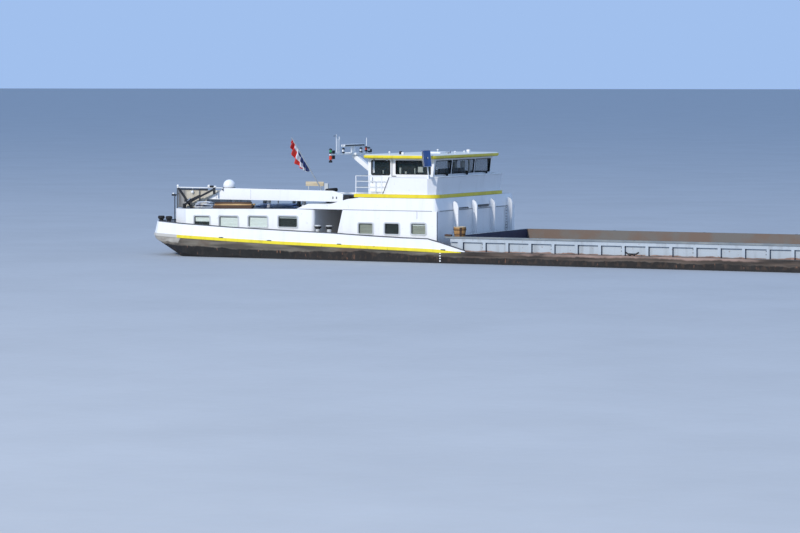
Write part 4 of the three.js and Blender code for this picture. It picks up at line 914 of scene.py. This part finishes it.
def window_set(label, place, windows):
    """Frames, painted shadow lines, panes, blinds and dark plates of painted shade behind the windows of one
    face
    """
    frames_and_shadow_lines = Shape(FRAME, TRIM_WHITE, LINE)
    panes = Shape(PANE)
    blinds = Shape(BLIND_PALE, BLIND_GREY, RUBBER_AND_SHADE)
    for rect, kind in windows:
        u0, u1, v0, v1 = rect
        frames_and_shadow_lines.use(TRIM_WHITE).frame(place, rect, 0.07, -0.02, (-0.01, 0.022), 0.09)
        frames_and_shadow_lines.use(FRAME).frame(place, rect, 0.025, 0.045, (-0.09, 0.035), 0.07)
        # Painted shadow: dark strips inside the aft and top edges of each frame stand for the shade of the
        # recess
        for u, v in (((u0 + 0.04, u0 + 0.085), (v0 + 0.05, v1 - 0.05)),
                     ((u0 + 0.05, u1 - 0.05), (v1 - 0.075, v1 - 0.045))):
            frames_and_shadow_lines.use(LINE).box(*ranges(place(u[0], v[0], -0.015), place(u[1], v[1], 0.012)))
        panes.plate(place, grown(rect, -0.03), (-0.03, -0.018))
        high = v1
        for share, blind in BLINDS_AND_SHADE_PLATES[kind]:
            low = v1 - (v1 - v0) * share
            part = (u0 + 0.02, u1 - 0.02, low, high)
            # Painted shade: the dark plate behind the pane stands for the unlit room
            if blind is RUBBER_AND_SHADE:
                blinds.use(RUBBER_AND_SHADE).plate(place, part, (-0.08, -0.068), 0.02)
            else:
                blinds.use(blind).slats(place, part, -0.065)
            high = low
    frames_and_shadow_lines.piece(f"{label}_window_frames_and_shadow_lines", "white_paint")
    panes.piece(f"{label}_window_panes", "window_glass")
    blinds.piece(f"{label}_window_blinds_and_shade_plates", "white_paint")


def cabin_windows():
    for side in SIDES:
        for part, windows in CABIN_WINDOWS.items():
            window_set(f"{part}_cabin_{SIDE_NAME[side]}", on_side(side), windows)
    window_set("stern", on_stern, [((*span(y, 0.6), 1.65, 2.25), "half") for y in (-2.3, 2.3)])


# Deckhouse trim


def door_fittings():
    """Round-cornered pane and handle on the passage doors and the aft door"""
    doors = [(f"passage_door_{SIDE_NAME[side]}", on_passage_door(side), (4.16, 4.64, 1.72, 2.34), 0.08, 4.10)
             for side in SIDES]
    doors.append(("aft_door", on_stern, (-0.3, 0.3, 1.72, 2.34), 0.04, -0.38))
    for body, place, rect, face, handle in doors:
        leaf = Shape(RUBBER_AND_SHADE, PANE_DARK, CHROME)
        leaf.use(RUBBER_AND_SHADE).frame(place, rect, 0.04, 0.01, (face - 0.01, face + 0.03))
        leaf.use(PANE_DARK).plate(place, rect, (face - 0.005, face + 0.012), 0.08)
        grip = [(1.42, -0.01), (1.42, 0.04), (1.60, 0.04), (1.60, -0.01)]
        leaf.use(CHROME).tube([place(handle, v, face + w) for v, w in grip], 0.016)
        leaf.piece(body + "_fittings", "black_paint", body=body)


def house_trim():
    """Painted shadow line along the knuckle, a seam on each side and the starboard corner line of the fore
    deckhouse
    """
    trim = Shape(SOFT_LINE, LINE)
    for side in SIDES:
        place = on_side(side)
        # Painted shadow: the soft grey line along the knuckle stands for the shade at the bend
        trim.plate(place, (12.2, FORE_FRONT - 0.3, KNUCKLE - 0.02, KNUCKLE + 0.015), (-0.01, 0.016), 0.01)
        trim.plate(place, (16.69, 16.71, 2.32, KNUCKLE - 0.04), (-0.01, 0.012), 0.004)
    ribs = (-HOUSE_HALF + 0.3, -3.06, -2.94, -0.61, -0.49, 1.79, 1.91, 4.14, 4.26, HOUSE_HALF - 0.3)
    # The same painted shadow line runs across the front between the ribs
    for across in zip(ribs[::2], ribs[1::2]):
        trim.box((FORE_FRONT - 0.01, FORE_FRONT + 0.02), across, (KNUCKLE - 0.03, KNUCKLE + 0.02))
    trim.use(LINE).box((FORE_FRONT - 0.02, FORE_FRONT + 0.015), (-HOUSE_HALF - 0.01, -HOUSE_HALF + 0.03),
                       (0.75, KNUCKLE - 0.04))
    trim.piece("deckhouse_trim", "white_paint", 0.004)


def fore_wall_gear():
    """Hand hold and a hatch hinge between the ribs, and a ladder"""
    gear = Shape(LINE, CHROME)
    x = FORE_FRONT + 0.05
    gear.tube([(x - 0.06, -2.75, 2.82), (x, -2.55, 2.85), (x, -1.3, 2.85), (x - 0.06, -1.1, 2.82)], 0.035)
    gear.box((FORE_FRONT - 0.01, FORE_FRONT + 0.07), (0.2, 1.5), (2.83, 2.95))
    for y in (3.78, 4.02):
        gear.use(CHROME).tube([(x, y, 0.95), (x, y, 2.72)], 0.016, 6)
    for i in range(11):
        gear.use(LINE).tube([(x, y, 1.05 + 0.16 * i) for y in (3.78, 4.02)], 0.014, 6)
    gear.piece("fore_wall_handholds", "black_paint", 0.01)


# Wheelhouse


BRIDGE = "wheelhouse_lift"


def wheelhouse_frames():
    """Dark rubber seals round the wheelhouse windows, and parked wipers"""
    mullions = (-3.66, -1.5, 1.5, 3.66)
    windows = [(on_side(side, CABIN_HALF), 14.76, 16.90, (-0.09, 0.015)) for side in SIDES]
    windows += [(on_bridge_front, y0 + 0.05, y1 - 0.05, (-0.07, 0.015))
                for y0, y1 in zip(mullions, mullions[1:])]
    windows += [(on_bridge_back, y - 1, y + 1, (-0.07, 0.02)) for y in (-2.5, 0, 2.5)]
    seals, wipers = Shape(RUBBER_AND_SHADE), Shape(RUBBER_AND_SHADE)
    for place, u0, u1, depth in windows:
        seals.frame(place, (u0, u1, SILL, HEAD), 0.0, 0.04, depth, 0.05)
    for y in (-2.6, 0.0, 2.6):
        foot = on_bridge_front(y + 0.5, SILL - 0.04, 0.04)
        wipers.tube([foot, on_bridge_front(y - 0.3, SILL + 0.06, 0.04)], 0.014, 6)
        blade = [(y - 0.7, SILL + 0.07, 0.03), (y + 0.1, SILL + 0.05, 0.03)]
        wipers.tube([on_bridge_front(*end) for end in blade], 0.014, 6)
        wipers.lathe(disc(0.05, 0.05, -0.05), foot, (1, 0, 0), 12)
    seals.piece("wheelhouse_window_seals", "black_paint", body=BRIDGE)
    wipers.piece("wheelhouse_wipers", "black_paint", body=BRIDGE)


def wheelhouse_door_panes():
    """Glass, seal, handle and rollers of the two sliding doors"""
    rect = (13.38, 14.44, SILL, HEAD - 0.05)
    for side in SIDES:
        leaf = Shape(GLAZING, RUBBER_AND_SHADE, CHROME)
        place = on_side(side, CABIN_HALF)
        leaf.plate(place, grown(rect, 0.01), (0.07, 0.082), 0.03)
        leaf.use(RUBBER_AND_SHADE).frame(place, rect, 0.07, 0.02, (0.055, 0.108), 0.04)
        leaf.use(CHROME).handle(place(13.42, 4.2, 0.1), place(13.42, 4.5, 0.1), (0, side * 0.04, 0), 0.018)
        for s in (13.5, 14.3):
            roller = [(0, 0), (0.05, 0), (0.05, 0.03), (0.02, 0.045), (0, 0.045)]
            leaf.lathe(roller, place(s, 5.47, 0.095), (0, side, 0))
        name = SIDE_NAME[side]
        leaf.piece(f"wheelhouse_door_glass_{name}", "window_glass", body=f"wheelhouse_door_{name}")


def wheelhouse_inside():
    """Screens and lever boxes on the console, papers on the sill, a ceiling strip, a rear locker, and a dark
    plate of painted shade inside the starboard windows
    """
    inside = Shape(CONSOLE, RUBBER_AND_SHADE, BLIND_PALE, TRIM_WHITE)
    for y in (-1.3, -0.45, 0.45, 1.3):
        inside.use(CONSOLE).box((16.28, 16.42), span(y, 0.3), (4.58, 4.95))
        inside.use(RUBBER_AND_SHADE).box((16.26, 16.285), span(y, 0.26), (4.62, 4.91))
    for y in (-0.9, 0.9):
        inside.use(RUBBER_AND_SHADE).box((15.95, 16.1), span(y, 0.12), (4.56, 4.66))
        inside.tube([(16.02, y, 4.62), (15.97, y, 4.8)], 0.025)
    for y in ((-3.6, -2.2), (2.0, 3.6)):
        inside.use(TRIM_WHITE).box((13.25, 13.7), y, (3.63, 4.6))
    # Painted shade: this dark plate stands for the unlit room seen through the starboard windows
    inside.use(RUBBER_AND_SHADE).box((13.35, 16.75), (-3.52, -3.50), (4.5, 5.52))
    papers = [(13.9, 13.95, 4.7, 4.9), (14.92, 15.02, 4.66, 5.05), (15.25, 15.35, 4.66, 4.84),
              (15.82, 15.87, 4.66, 5.02), (16.04, 16.34, 4.80, 5.10)]
    for s0, s1, z0, z1 in papers:
        inside.use(BLIND_PALE).box((s0, s1), (-3.64, -3.56), (z0, z1))
    blinds = [(0.2, 0.5, 4.6, 5.42), (1.1, 1.35, 4.6, 5.42), (0.2, 1.35, 5.25, 5.42), (1.9, 2.4, 4.6, 5.3),
              (2.9, 3.1, 4.6, 5.42)]
    for y0, y1, z0, z1 in blinds:
        inside.use(TRIM_WHITE).box((16.02, 16.08), (y0, y1), (z0, z1))
    inside.use(CONSOLE).box((14.0, 16.6), (-3.56, -3.15), (3.63, 4.42))
    inside.use(TRIM_WHITE).box((14.0, 16.6), (-0.15, 0.15), (5.44, 5.50))
    inside.piece("wheelhouse_fittings", "console_grey", 0.015, BRIDGE)


def wheelhouse_roof_gear():
    """Aerials, horn, hatch and lamps on the wheelhouse roof"""
    gear = Shape(TRIM_WHITE, BLACK, CHROME)
    mushroom = [(0, 0), (0.02, 0), (0.02, 0.08), (0.06, 0.09), (0.06, 0.13), (0.03, 0.16), (0, 0.165)]
    for s, y in ((14.2, -3.4), (14.0, 3.2), (17.0, -0.9), (17.0, 0.3)):
        gear.lathe(mushroom, (s, y, ROOF_TOP - 0.01), sides=20)
    horn = [(0, 0), (0.02, 0), (0.03, 0.18), (0.09, 0.3), (0.07, 0.3), (0.0, 0.25)]
    gear.use(CHROME).lathe(horn, (16.75, -1.6, ROOF_TOP + 0.10), (1, 0, 0.05), 20)
    for tone, x, y, low, high in ((BLACK, (14.93, 15.05), (-3.7, -3.55), -0.01, 0.17),
                                  (TRIM_WHITE, (15.06, 15.2), (-3.7, -3.55), -0.01, 0.12),
                                  (CHROME, (16.85, 16.95), (-1.65, -1.55), -0.02, 0.08),
                                  (TRIM_WHITE, (14.9, 15.9), (-0.5, 0.5), -0.02, 0.07)):
        gear.use(tone).box(x, y, (ROOF_TOP + low, ROOF_TOP + high))
    gear.piece("wheelhouse_roof_gear", "white_paint", 0.012, BRIDGE)


def bridge_trim():
    """Cap rail and dark aft edge of the bridge bulwark"""
    trim = Shape(TRIM_WHITE, LINE)
    half, bend, front, out, top = 4.55, 0.30, 17.40, 0.12, 4.565
    edge = [(-0.015, 0), (0.015, 0), (0.015, 0.05), (-0.015, 0.05)]
    for side in SIDES:
        path = [(14.86, half + out), (front - bend, half + out), (front + out, half - bend)]
        trim.use(TRIM_WHITE).tube([(s, side * y, top) for s, y in path], 0.035)
        slant = [(14.37, half - 0.02, BRIDGE_TOP + 0.02), (14.80, half + out - 0.02, 4.54)]
        trim.use(LINE).skin([[(s + a, side * (y + b), z) for a, b in edge] for s, y, z in slant])
    trim.use(TRIM_WHITE).tube([(front + out, 4.25, top), (front + out, -4.25, top)], 0.035)
    trim.use(LINE).box((15.0, 15.22), (-4.72, -4.62), (4.59, 4.63))
    trim.piece("bridge_bulwark_trim", "white_paint", body=BRIDGE)


def sign_board_rim():
    """Pale rim round both faces of the signal board, and the lamp in its middle"""
    lean = Vector((-0.16, 0, 1.40)).normalized()
    out = Vector((lean.z, 0, -lean.x))

    def place(u, v, w):
        return Vector((17.31, u, 4.66)) + lean * v + out * w

    rim = Shape(TRIM_WHITE, BLACK)
    rim.frame(place, (-5.42, -4.48, 0.515, 1.387), 0.02, 0.012, (-0.034, 0.034), 0.03)
    for face in (-1, 1):
        for tone, profile, stand in ((BLACK, disc(0.06, 0.03), 0.02),
                                     (TRIM_WHITE, [(0, 0), (0.045, 0), (0.04, 0.03), (0, 0.04)], 0.045)):
            rim.use(tone).lathe(profile, place(-4.95, 0.97, stand * face), out * face)
    rim.piece("sign_board_rim", "white_paint", body="sign_board")


def helm_chair():
    """Pedestal chair with crowned cushions"""
    base = Shape(STEEL, BLACK)
    pedestal = [(0, 0), (0.3, 0), (0.28, 0.05), (0.1, 0.1), (0.09, 0.5), (0, 0.5)]
    base.lathe(pedestal, (14.9, 0, BRIDGE_TOP + 0.01), sides=24)
    base.use(BLACK).box((14.62, 15.18), (-0.27, 0.27), (4.11, 4.17))
    for y in (-0.34, 0.34):
        base.tube([(14.62, y, 4.16), (14.60, y, 4.44), (15.08, y, 4.46)], 0.035)
    chair = base.piece("helm_chair_base", "seat_black", 0.01, BRIDGE)
    seat = cushion("helm_chair_seat", (14.9, 0, 4.24), (0.58, 0.56, 0.15), 0.0)
    back = cushion("helm_chair_back", (14.58, 0, 4.68), (0.80, 0.54, 0.13), radians(80))
    for piece in (seat, back):
        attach(piece, BRIDGE)
    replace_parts(chair, "helm_chair")


def cushion(name, centre, size, lean):
    """A crowned closed form with a seam round its middle and sewn channels"""
    steps = 22
    bm = bmesh.new()
    grid = {}
    for top in (1, -1):
        for i in range(steps + 1):
            for j in range(steps + 1):
                u, v = 2 * i / steps - 1, 2 * j / steps - 1
                edge = (1 - abs(u) ** 4) * (1 - abs(v) ** 4)
                if edge <= 1e-9 and top == -1:
                    continue
                pull = 1 - 0.04 * (1 - abs(v)) * abs(u) ** 3
                channel = 0.10 * max(0.0, cos(pi * 3 * v)) ** 8 * edge
                height = top * (edge ** 0.45 * 0.5 - channel)
                x, y, z = u * size[0] / 2 * pull, v * size[1] / 2, height * size[2]
                turned = Vector((x * cos(lean) - z * sin(lean), y,
                                 x * sin(lean) + z * cos(lean)))
                grid[top, i, j] = bm.verts.new(model(Vector(centre) + turned))
    for top in (1, -1):
        for i in range(steps):
            for j in range(steps):
                corners = [(i, j), (i + 1, j), (i + 1, j + 1), (i, j + 1)]
                found = [grid.get((top, a, b)) or grid[1, a, b] for a, b in corners]
                bm.faces.new(found if top == 1 else found[::-1]).smooth = True
    bmesh.ops.recalc_face_normals(bm, faces=bm.faces)
    return mesh_object(bm, name, [SEAT])


# Radar mast

YARD_S = 10.19
YARD_END = -2.66


def lamp(shape, place, lens):
    """A navigation lamp: black housing under and over a lens"""
    s, y, z = place
    for tone, profile, up in ((BLACK, [(0, 0), (0.09, 0), (0.09, 0.05), (0.072, 0.07), (0, 0.07)], 0),
                              (lens, disc(0.0675, 0.14), 0.065),
                              (BLACK, [(0, 0), (0.09, 0), (0.081, 0.05), (0.027, 0.09), (0, 0.09)], 0.2)):
        shape.use(tone).lathe(profile, (s, y, z + up))


def mast_gear():
    """Lamps and aerials on the yard, the conduit up the mast, and the scanner's housing"""
    gear = Shape(BLACK, RED_LAMP, GREEN_LAMP, TRIM_WHITE)
    for y, z, lens in ((YARD_END, 5.75, GREEN_LAMP), (-1.1, 5.75, TRIM_WHITE), (1.1, 5.75, TRIM_WHITE),
                       (1.75, 5.80, RED_LAMP), (2.1, 5.75, TRIM_WHITE)):
        lamp(gear, (YARD_S, y, z), lens)
        gear.use(BLACK).tube([(YARD_S, y, 5.7), (YARD_S, y, z + 0.01)], 0.03)
    gear.use(TRIM_WHITE).box(span(YARD_S, 0.04), (YARD_END - 0.06, -2.33), (5.66, 5.72))
    lens = [(0, 0), (0.09, 0.01), (0.09, 0.22), (0, 0.23)]
    foot = [(0, 0), (0.1, 0), (0.1, 0.1), (0.05, 0.13), (0, 0.13)]
    gear.use(RED_LAMP).lathe(lens, (YARD_S, YARD_END, 5.40))
    gear.use(BLACK).lathe(foot, (YARD_S, YARD_END, 5.25))
    gear.tube([(YARD_S, YARD_END, 5.3), (YARD_S, YARD_END, 5.7)], 0.03)
    gear.tube([(YARD_S, -2.3, 6.72), (YARD_S, -1.95, 6.72)], 0.015, 6)
    gear.use(TRIM_WHITE).tube([(YARD_S, -1.75, 5.7), (YARD_S, -1.75, 6.55)], 0.015, 6)
    gear.piece("mast_lamps", "black_paint", body="radar_mast")
    conduit = Shape(RUBBER_AND_SHADE)
    conduit.tube([(12.62, 0.17, 3.95), (11.6, 0.17, 4.72), (10.5, 0.17, 5.54)], 0.02, 6)
    for t in (0.1, 0.35, 0.6, 0.85):
        z = 3.75 + 1.87 * t
        conduit.box(span(12.8 - 2.5 * t, 0.03), (0.135, 0.2), (z - 0.03, z + 0.1))
    conduit.piece("mast_conduit", "black_paint", body="radar_mast")
    bar = Shape(TRIM_WHITE, LINE)
    profile = [(10.16, 6.10), (10.34, 6.10), (10.36, 6.17), (10.32, 6.245), (10.18, 6.245), (10.14, 6.17)]
    bar.side_profile(profile, (-1.27, 1.27))
    bar.use(LINE).side_profile([(10.36, 6.13), (10.375, 6.13), (10.375, 6.21), (10.36, 6.21)], (-1.2, 1.2))
    bar.piece("radar_scanner_cover", "white_paint", 0.012, body="radar_scanner")


# Terrace at the stern


def terrace_canvas():
    """Wind screen laced inside the terrace rail, hanging in small vertical folds"""
    inside, foot, top = 0.038, 2.68, 3.66
    corner = 1.33 + inside
    side_steps, aft_steps, rises = 46, 120, 14
    rows = []
    for r in range(rises + 1):
        t = r / rises
        swell = sin(pi * min(1, max(0.04, t)))
        z = foot + (top - foot) * t
        fore = 3.17 + max(0.0, z - 3.14) * 1.45 / 0.86
        row = []
        for j in range(side_steps + 1):
            s = fore + (corner - fore) * j / side_steps
            y = -4.24 - (4.2 - s) / 2.87 * 0.06 + inside
            fold = 0.022 * sin(s * 21 + 2 * sin(s * 3)) * swell
            row.append((s, y + abs(fold) + 0.004, z))
        for j in range(1, aft_steps + 1):
            y = -4.30 + inside + (8.60 - 2 * inside) * j / aft_steps
            drop = 0.26 * min(1.0, max(0.0, (y + 4.26) / 2.86))
            fold = 0.025 * sin(y * 17 + 1.5 * sin(y * 2.3)) * swell
            row.append((corner + abs(fold) + 0.004, y, foot + (top - drop - foot) * t))
        rows.append(row)
    screen = sheet_mesh("terrace_wind_screen", rows, [CANVAS], 0.012)
    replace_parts(screen, "terrace_canvas")
    eyelets = Shape(CHROME)
    for i in range(8):
        eyelets.lathe(hoop(0.014, 0.03, 0.015), (1.5 + 0.3 * i, -4.205, 3.60), (0, -1, 0), 12)
    rings = eyelets.piece("wind_screen_eyelets", "bare_steel")


def terrace_gear():
    """Lamps and small devices on the rail, a black strip under it as painted shadow, the pipe at the corner,
    the derrick's ram
    """
    gear = Shape(TRIM_WHITE, BLACK, CHROME)
    # The first box, a black strip under the rail and above the canvas, is painted shadow of the gap between
    # them
    for tone, x, y, z in ((BLACK, (1.40, 3.28), (-4.315, -4.255), (3.67, 3.745)),
                          (BLACK, (3.42, 3.62), span(TERRACE_RAIL_Y, 0.06), (TERRACE_RAIL_TOP, 3.93)),
                          (BLACK, (1.02, 1.22), (-4.42, -4.28), (3.32, 3.42)),
                          (TRIM_WHITE, (1.06, 1.16), (-4.39, -4.31), (3.42, 3.49))):
        gear.use(tone).box(x, y, z)
    for s, tall in ((3.34, 0.15), (3.74, 0.10)):
        lantern = [(0, 0), (0.07, 0), (0.09, tall * 0.6), (0.05, tall), (0, tall)]
        gear.lathe(lantern, (s, TERRACE_RAIL_Y, TERRACE_RAIL_TOP))
    gear.lathe([(0, 0), (0.06, 0), (0.08, 0.06), (0.08, 0.12), (0, 0.14)], (2.32, -4.33, 3.48))
    gear.lathe([(0, 0), (0.06, 0), (0.06, 0.1), (0, 0.12)], (1.36, -4.30, 3.84))
    gear.tube([(2.32, -4.30, 3.55), (2.32, -4.285, 3.80)], 0.02, 6)
    gear.use(BLACK).tube([(1.20, -4.37, 1.75), (1.20, -4.37, 3.28), (1.29, -4.31, 3.40)], 0.03)
    gear.piece("terrace_rail_gear", "white_paint", 0.008)
    ram = Shape(CHROME, BLACK)
    ram.tube([(2.10, -4.68, 2.98), (2.40, -4.68, 3.22)], 0.035)
    knob = [(0, 0), (0.06, 0), (0.06, 0.05), (0.04, 0.07), (0, 0.07)]
    for s, z in ((2.17, 3.03), (2.50, 3.12)):
        ram.use(BLACK).lathe(knob, (s, -4.66, z), (0, -1, 0))
    ram.piece("derrick_ram", "black_paint", body="derrick_boom")


# Platform


def satellite_dome():
    dome = Shape(DOME, LINE)
    centre, radius = 0.635, 0.345
    profile = [(0, 0), (0.19, 0), (0.19, 0.03), (0.15, 0.06), (0.15, 0.34)]
    for i in range(17):
        angle = radians(-50 + 140 * i / 16)
        profile.append((max(0.0, radius * cos(angle)), centre + radius * sin(angle)))
    dome.lathe(profile, (3.95, -3.0, PLATFORM_TOP), sides=48)
    dome.use(LINE).lathe(hoop(0.325, 0.352, 0.012, -0.012), (3.95, -3.0, 3.78), sides=48)
    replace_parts(dome.piece("satellite_dome_shell", "dome_white"), "satellite_dome")


def platform_gear():
    """Panel on two feet, locker, a black box and pipe as painted shade, stacked tyre fenders, and seams of
    the platform's side
    """
    gear = Shape(BOARD_BEIGE, BLACK, FRAME)
    gear.box((5.12, 6.29), (4.02, 4.09), (3.69, 3.95))
    gear.use(FRAME).box((6.36, 6.6), (3.98, 4.12), (3.36, 3.86))
    for s in (5.3, 6.1):
        gear.tube([(s, 4.06, 3.36), (s, 4.06, 3.70)], 0.03)
    # Painted shade: the black box, its side plate and the pipe fill the shaded gap between the platform's end
    # and the bridge deck
    gear.use(BLACK).box((11.76, 12.15), (-4.15, -3.45), (3.08, 3.53))
    gear.tube([(12.12, -4.15, 3.47), (12.3, -4.15, 3.47), (12.62, -4.15, 3.44)], 0.07)
    gear.box((11.80, 12.11), (PLATFORM_SIDE - 0.025, PLATFORM_SIDE), (3.16, 3.46))
    gear.piece("platform_gear", "black_paint", 0.02)
    tyres = Shape(RUBBER_AND_SHADE)
    tread = [(0.17, 0.03), (0.21, 0), (0.31, 0), (0.35, 0.05), (0.35, 0.14), (0.31, 0.19), (0.21, 0.19),
             (0.17, 0.16)]
    for s, y, z, lean in ((10.72, -3.5, PLATFORM_TOP, 0.0), (10.76, -3.46, 3.455, 0.05),
                          (10.70, -3.52, 3.66, -0.12), (11.25, -3.3, PLATFORM_TOP, 0.0)):
        tyres.lathe(tread, (s, y, z), (lean, 0.03, 1), sides=32)
    tyres.piece("platform_tyre_fenders", "black_paint", sharp=50)
    seams = Shape(LINE, SOFT_LINE)
    seams.box((3.74, 3.76), (PLATFORM_SIDE - 0.018, PLATFORM_SIDE), (3.19, 3.47))
    for s in (11.1, 11.32):
        seams.box(span(s, 0.03), (PLATFORM_SIDE - 0.025, PLATFORM_SIDE), (3.3, 3.42))
    seams.use(SOFT_LINE).box((5.945, 5.955), (PLATFORM_SIDE - 0.016, PLATFORM_SIDE), (3.2, 3.74))
    seams.piece("platform_seams", "white_paint")


# Flag


def flag():
    """Limp cloth in red, white and blue stripes, hung in folds from the leaning staff"""
    columns, turns = 120, 34
    hoist, drop, line = 6.5, 1.74, -1.5
    staff_foot, staff_head = (9.3, PLATFORM_TOP), (7.13, 6.6)
    rake = (staff_foot[0] - staff_head[0]) / (staff_foot[1] - staff_head[1])
    lower = [(7.09, 6.30), (7.15, 5.72), (7.36, 5.15), (7.80, 4.83), (8.12, 4.68), (8.27, 4.76)]
    rows = []
    for i in range(turns + 1):
        t = i / turns
        row = []
        for j in range(columns + 1):
            k = j / columns
            z_top = hoist - drop * k
            s_top = staff_head[0] + (z_top - staff_head[1]) * rake - 0.06
            index, part = divmod(k * (len(lower) - 1), 1)
            a, b = lower[int(index)], lower[min(int(index) + 1, len(lower) - 1)]
            s_low, z_low = [p + (q - p) * part for p, q in zip(a, b)]
            spread = 0.03 + 0.11 * min(1, t * 3)
            y = line + spread * sin(k * 44 + 1.2 * sin(k * 9)) + 0.02 * sin(t * 5 + k * 7)
            row.append((s_top + (s_low - s_top) * t, y, z_top + (z_low - z_top) * t))
        rows.append(row)

    def stripe(i, j):
        run = j / columns - 0.5 * i / turns
        return 0 if run < 0.14 else 1 if run < 0.36 else 2

    cloth = sheet_mesh("ensign", rows, [FLAG_RED, FLAG_WHITE, FLAG_BLUE], 0.01, stripe)
    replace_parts(cloth, "flag")


# Stowed goods on the aft roof


def folded(name, node, materials, along, height, across, layers, shrink, seed, pick=None):
    """A sheet folded to and fro in layers, rumpled at random; pick gives a layer's material"""
    random.seed(seed)
    steps, width = 26, 16
    edge, bend, margin = 0.06, 0.04, 0.03
    rise = height / layers
    path = []
    for layer in range(layers):
        h = height * (layer + 0.5) / layers
        inset = edge + shrink * layer / max(1, layers - 1)
        ends = [along[0] + inset, along[1] - inset]
        turn = -1 if layer % 2 else 1
        x0, x1 = ends[::turn]
        path += [(x0 + (x1 - x0) * k / steps, h, layer) for k in range(steps + 1)]
        if layer + 1 < layers:
            for a in [radians(angle) for angle in (30, 60, 90, 120, 150)]:
                path.append((x1 + turn * bend * sin(a), h + rise / 2 * (1 - cos(a)), layer + 0.5))
    offset = random.random() * 50
    rows = []
    for x, h, layer in path:
        reach = 0.03 * noise.noise(Vector((x * 1.5, layer * 3.1, offset)))
        row = []
        for j in range(width + 1):
            k = j / width
            lift = rise * 0.42 * noise.noise(Vector((x * 2.6 + offset, k * 3, layer * 1.7)))
            droop = -0.06 * height * abs(2 * k - 1) ** 3 * (h / height)
            y = across[0] + margin + (across[1] - across[0] - 2 * margin) * k + reach
            row.append((x, y, aft_roof(x) + 0.015 + max(0.0, h + lift + droop)))
        rows.append(row)
    cloth = sheet_mesh(name, rows, materials, 0.012, lambda i, j: pick(path[i][2]) if pick else 0)
    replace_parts(cloth, node)
    return cloth


def stowed_cloth():
    cover = folded("folded_white_cover", "folded_cover", [COVER, NAVY], (2.75, 3.85), 0.40, (-4.95, -4.45), 6,
                   0.12, 5, lambda layer: 1 if layer == 2 else 0)
    tarp = folded("folded_blue_tarpaulin", "tarpaulin", [TARP], (6.65, 9.15), 0.28, (-5.0, -4.4), 4, 0.18, 9)


def planks():
    """Three layers of boards and dark battens on them, all along the slope of the roof"""
    def board(shape, s0, s1, low, high, y):
        ends = [(s0, low), (s1, low), (s1, high), (s0, high)]
        shape.side_profile([(s, aft_roof(s) + up) for s, up in ends], y)

    boards, battens = Shape(TIMBER, DARK_TIMBER), Shape(DARK_TIMBER)
    random.seed(3)
    for low, high, tone in ((0.01, 0.095, DARK_TIMBER), (0.102, 0.185, DARK_TIMBER), (0.192, 0.275, TIMBER)):
        for i in range(3):
            y = -4.95 + 0.135 * i
            s0 = 4.03 + random.uniform(-0.06, 0.06)
            s1 = 6.42 + random.uniform(-0.07, 0.07)
            board(boards.use(tone), s0, s1, low, high, (y, y + 0.125))
    for i in range(3):
        y = -4.93 + 0.13 * i
        board(battens, 4.1 + 0.05 * i, 6.38 - 0.06 * i, 0.278, 0.368, (y, y + 0.10))
    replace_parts(boards.piece("stacked_planks", "timber", 0.008), "plank_stack")
    battens.piece("dark_battens", "timber", 0.008)


def tub():
    """Half cask of staves with two hoops and a pale rim"""
    cask = Shape(STAVE, DARK_TIMBER, BOARD_BEIGE)
    s, y, base = 19.2, -5.0, 1.434
    count = 16
    for i in range(count):
        a0, a1 = [2 * pi * (i + t) / count for t in (0.03, 0.97)]
        rings = []
        for h, r in ((0.0, 0.28), (0.25, 0.325), (0.5, 0.348)):
            ring = [(a0, r - 0.04), (a0, r), ((a0 + a1) / 2, r * 1.012), (a1, r), (a1, r - 0.04)]
            rings.append([(s + out * cos(a), y + out * sin(a), base + h) for a, out in ring])
        cask.use(DARK_TIMBER if i % 4 == 1 else STAVE).skin(rings)
    for h, r in ((0.10, 0.282), (0.36, 0.322)):
        band = [(r, -0.02), (r + 0.028, -0.02), (r + 0.032, 0.02), (r, 0.02)]
        cask.use(DARK_TIMBER).lathe(band, (s, y, base + h), sides=32)
    cask.use(BOARD_BEIGE).lathe(hoop(0.31, 0.352, 0.025), (s, y, base + 0.495), sides=32)
    cask.use(DARK_TIMBER).lathe(disc(0.27, 0.06, 0.03), (s, y, base), sides=32)
    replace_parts(cask.piece("staved_tub", "timber"), "mooring_tub")


for part in (dress_nodes, studio, sun, stern_rail, hull_side_details, side_deck_gear, coaming_details,
             cabin_windows, bow_rail, bow_gear, hold_details, door_fittings, house_trim, fore_wall_gear,
             wheelhouse_frames, wheelhouse_door_panes, wheelhouse_inside, wheelhouse_roof_gear, bridge_trim,
             sign_board_rim, helm_chair, mast_gear, terrace_canvas, terrace_gear, satellite_dome,
             platform_gear, flag, stowed_cloth, planks, tub):
    part()
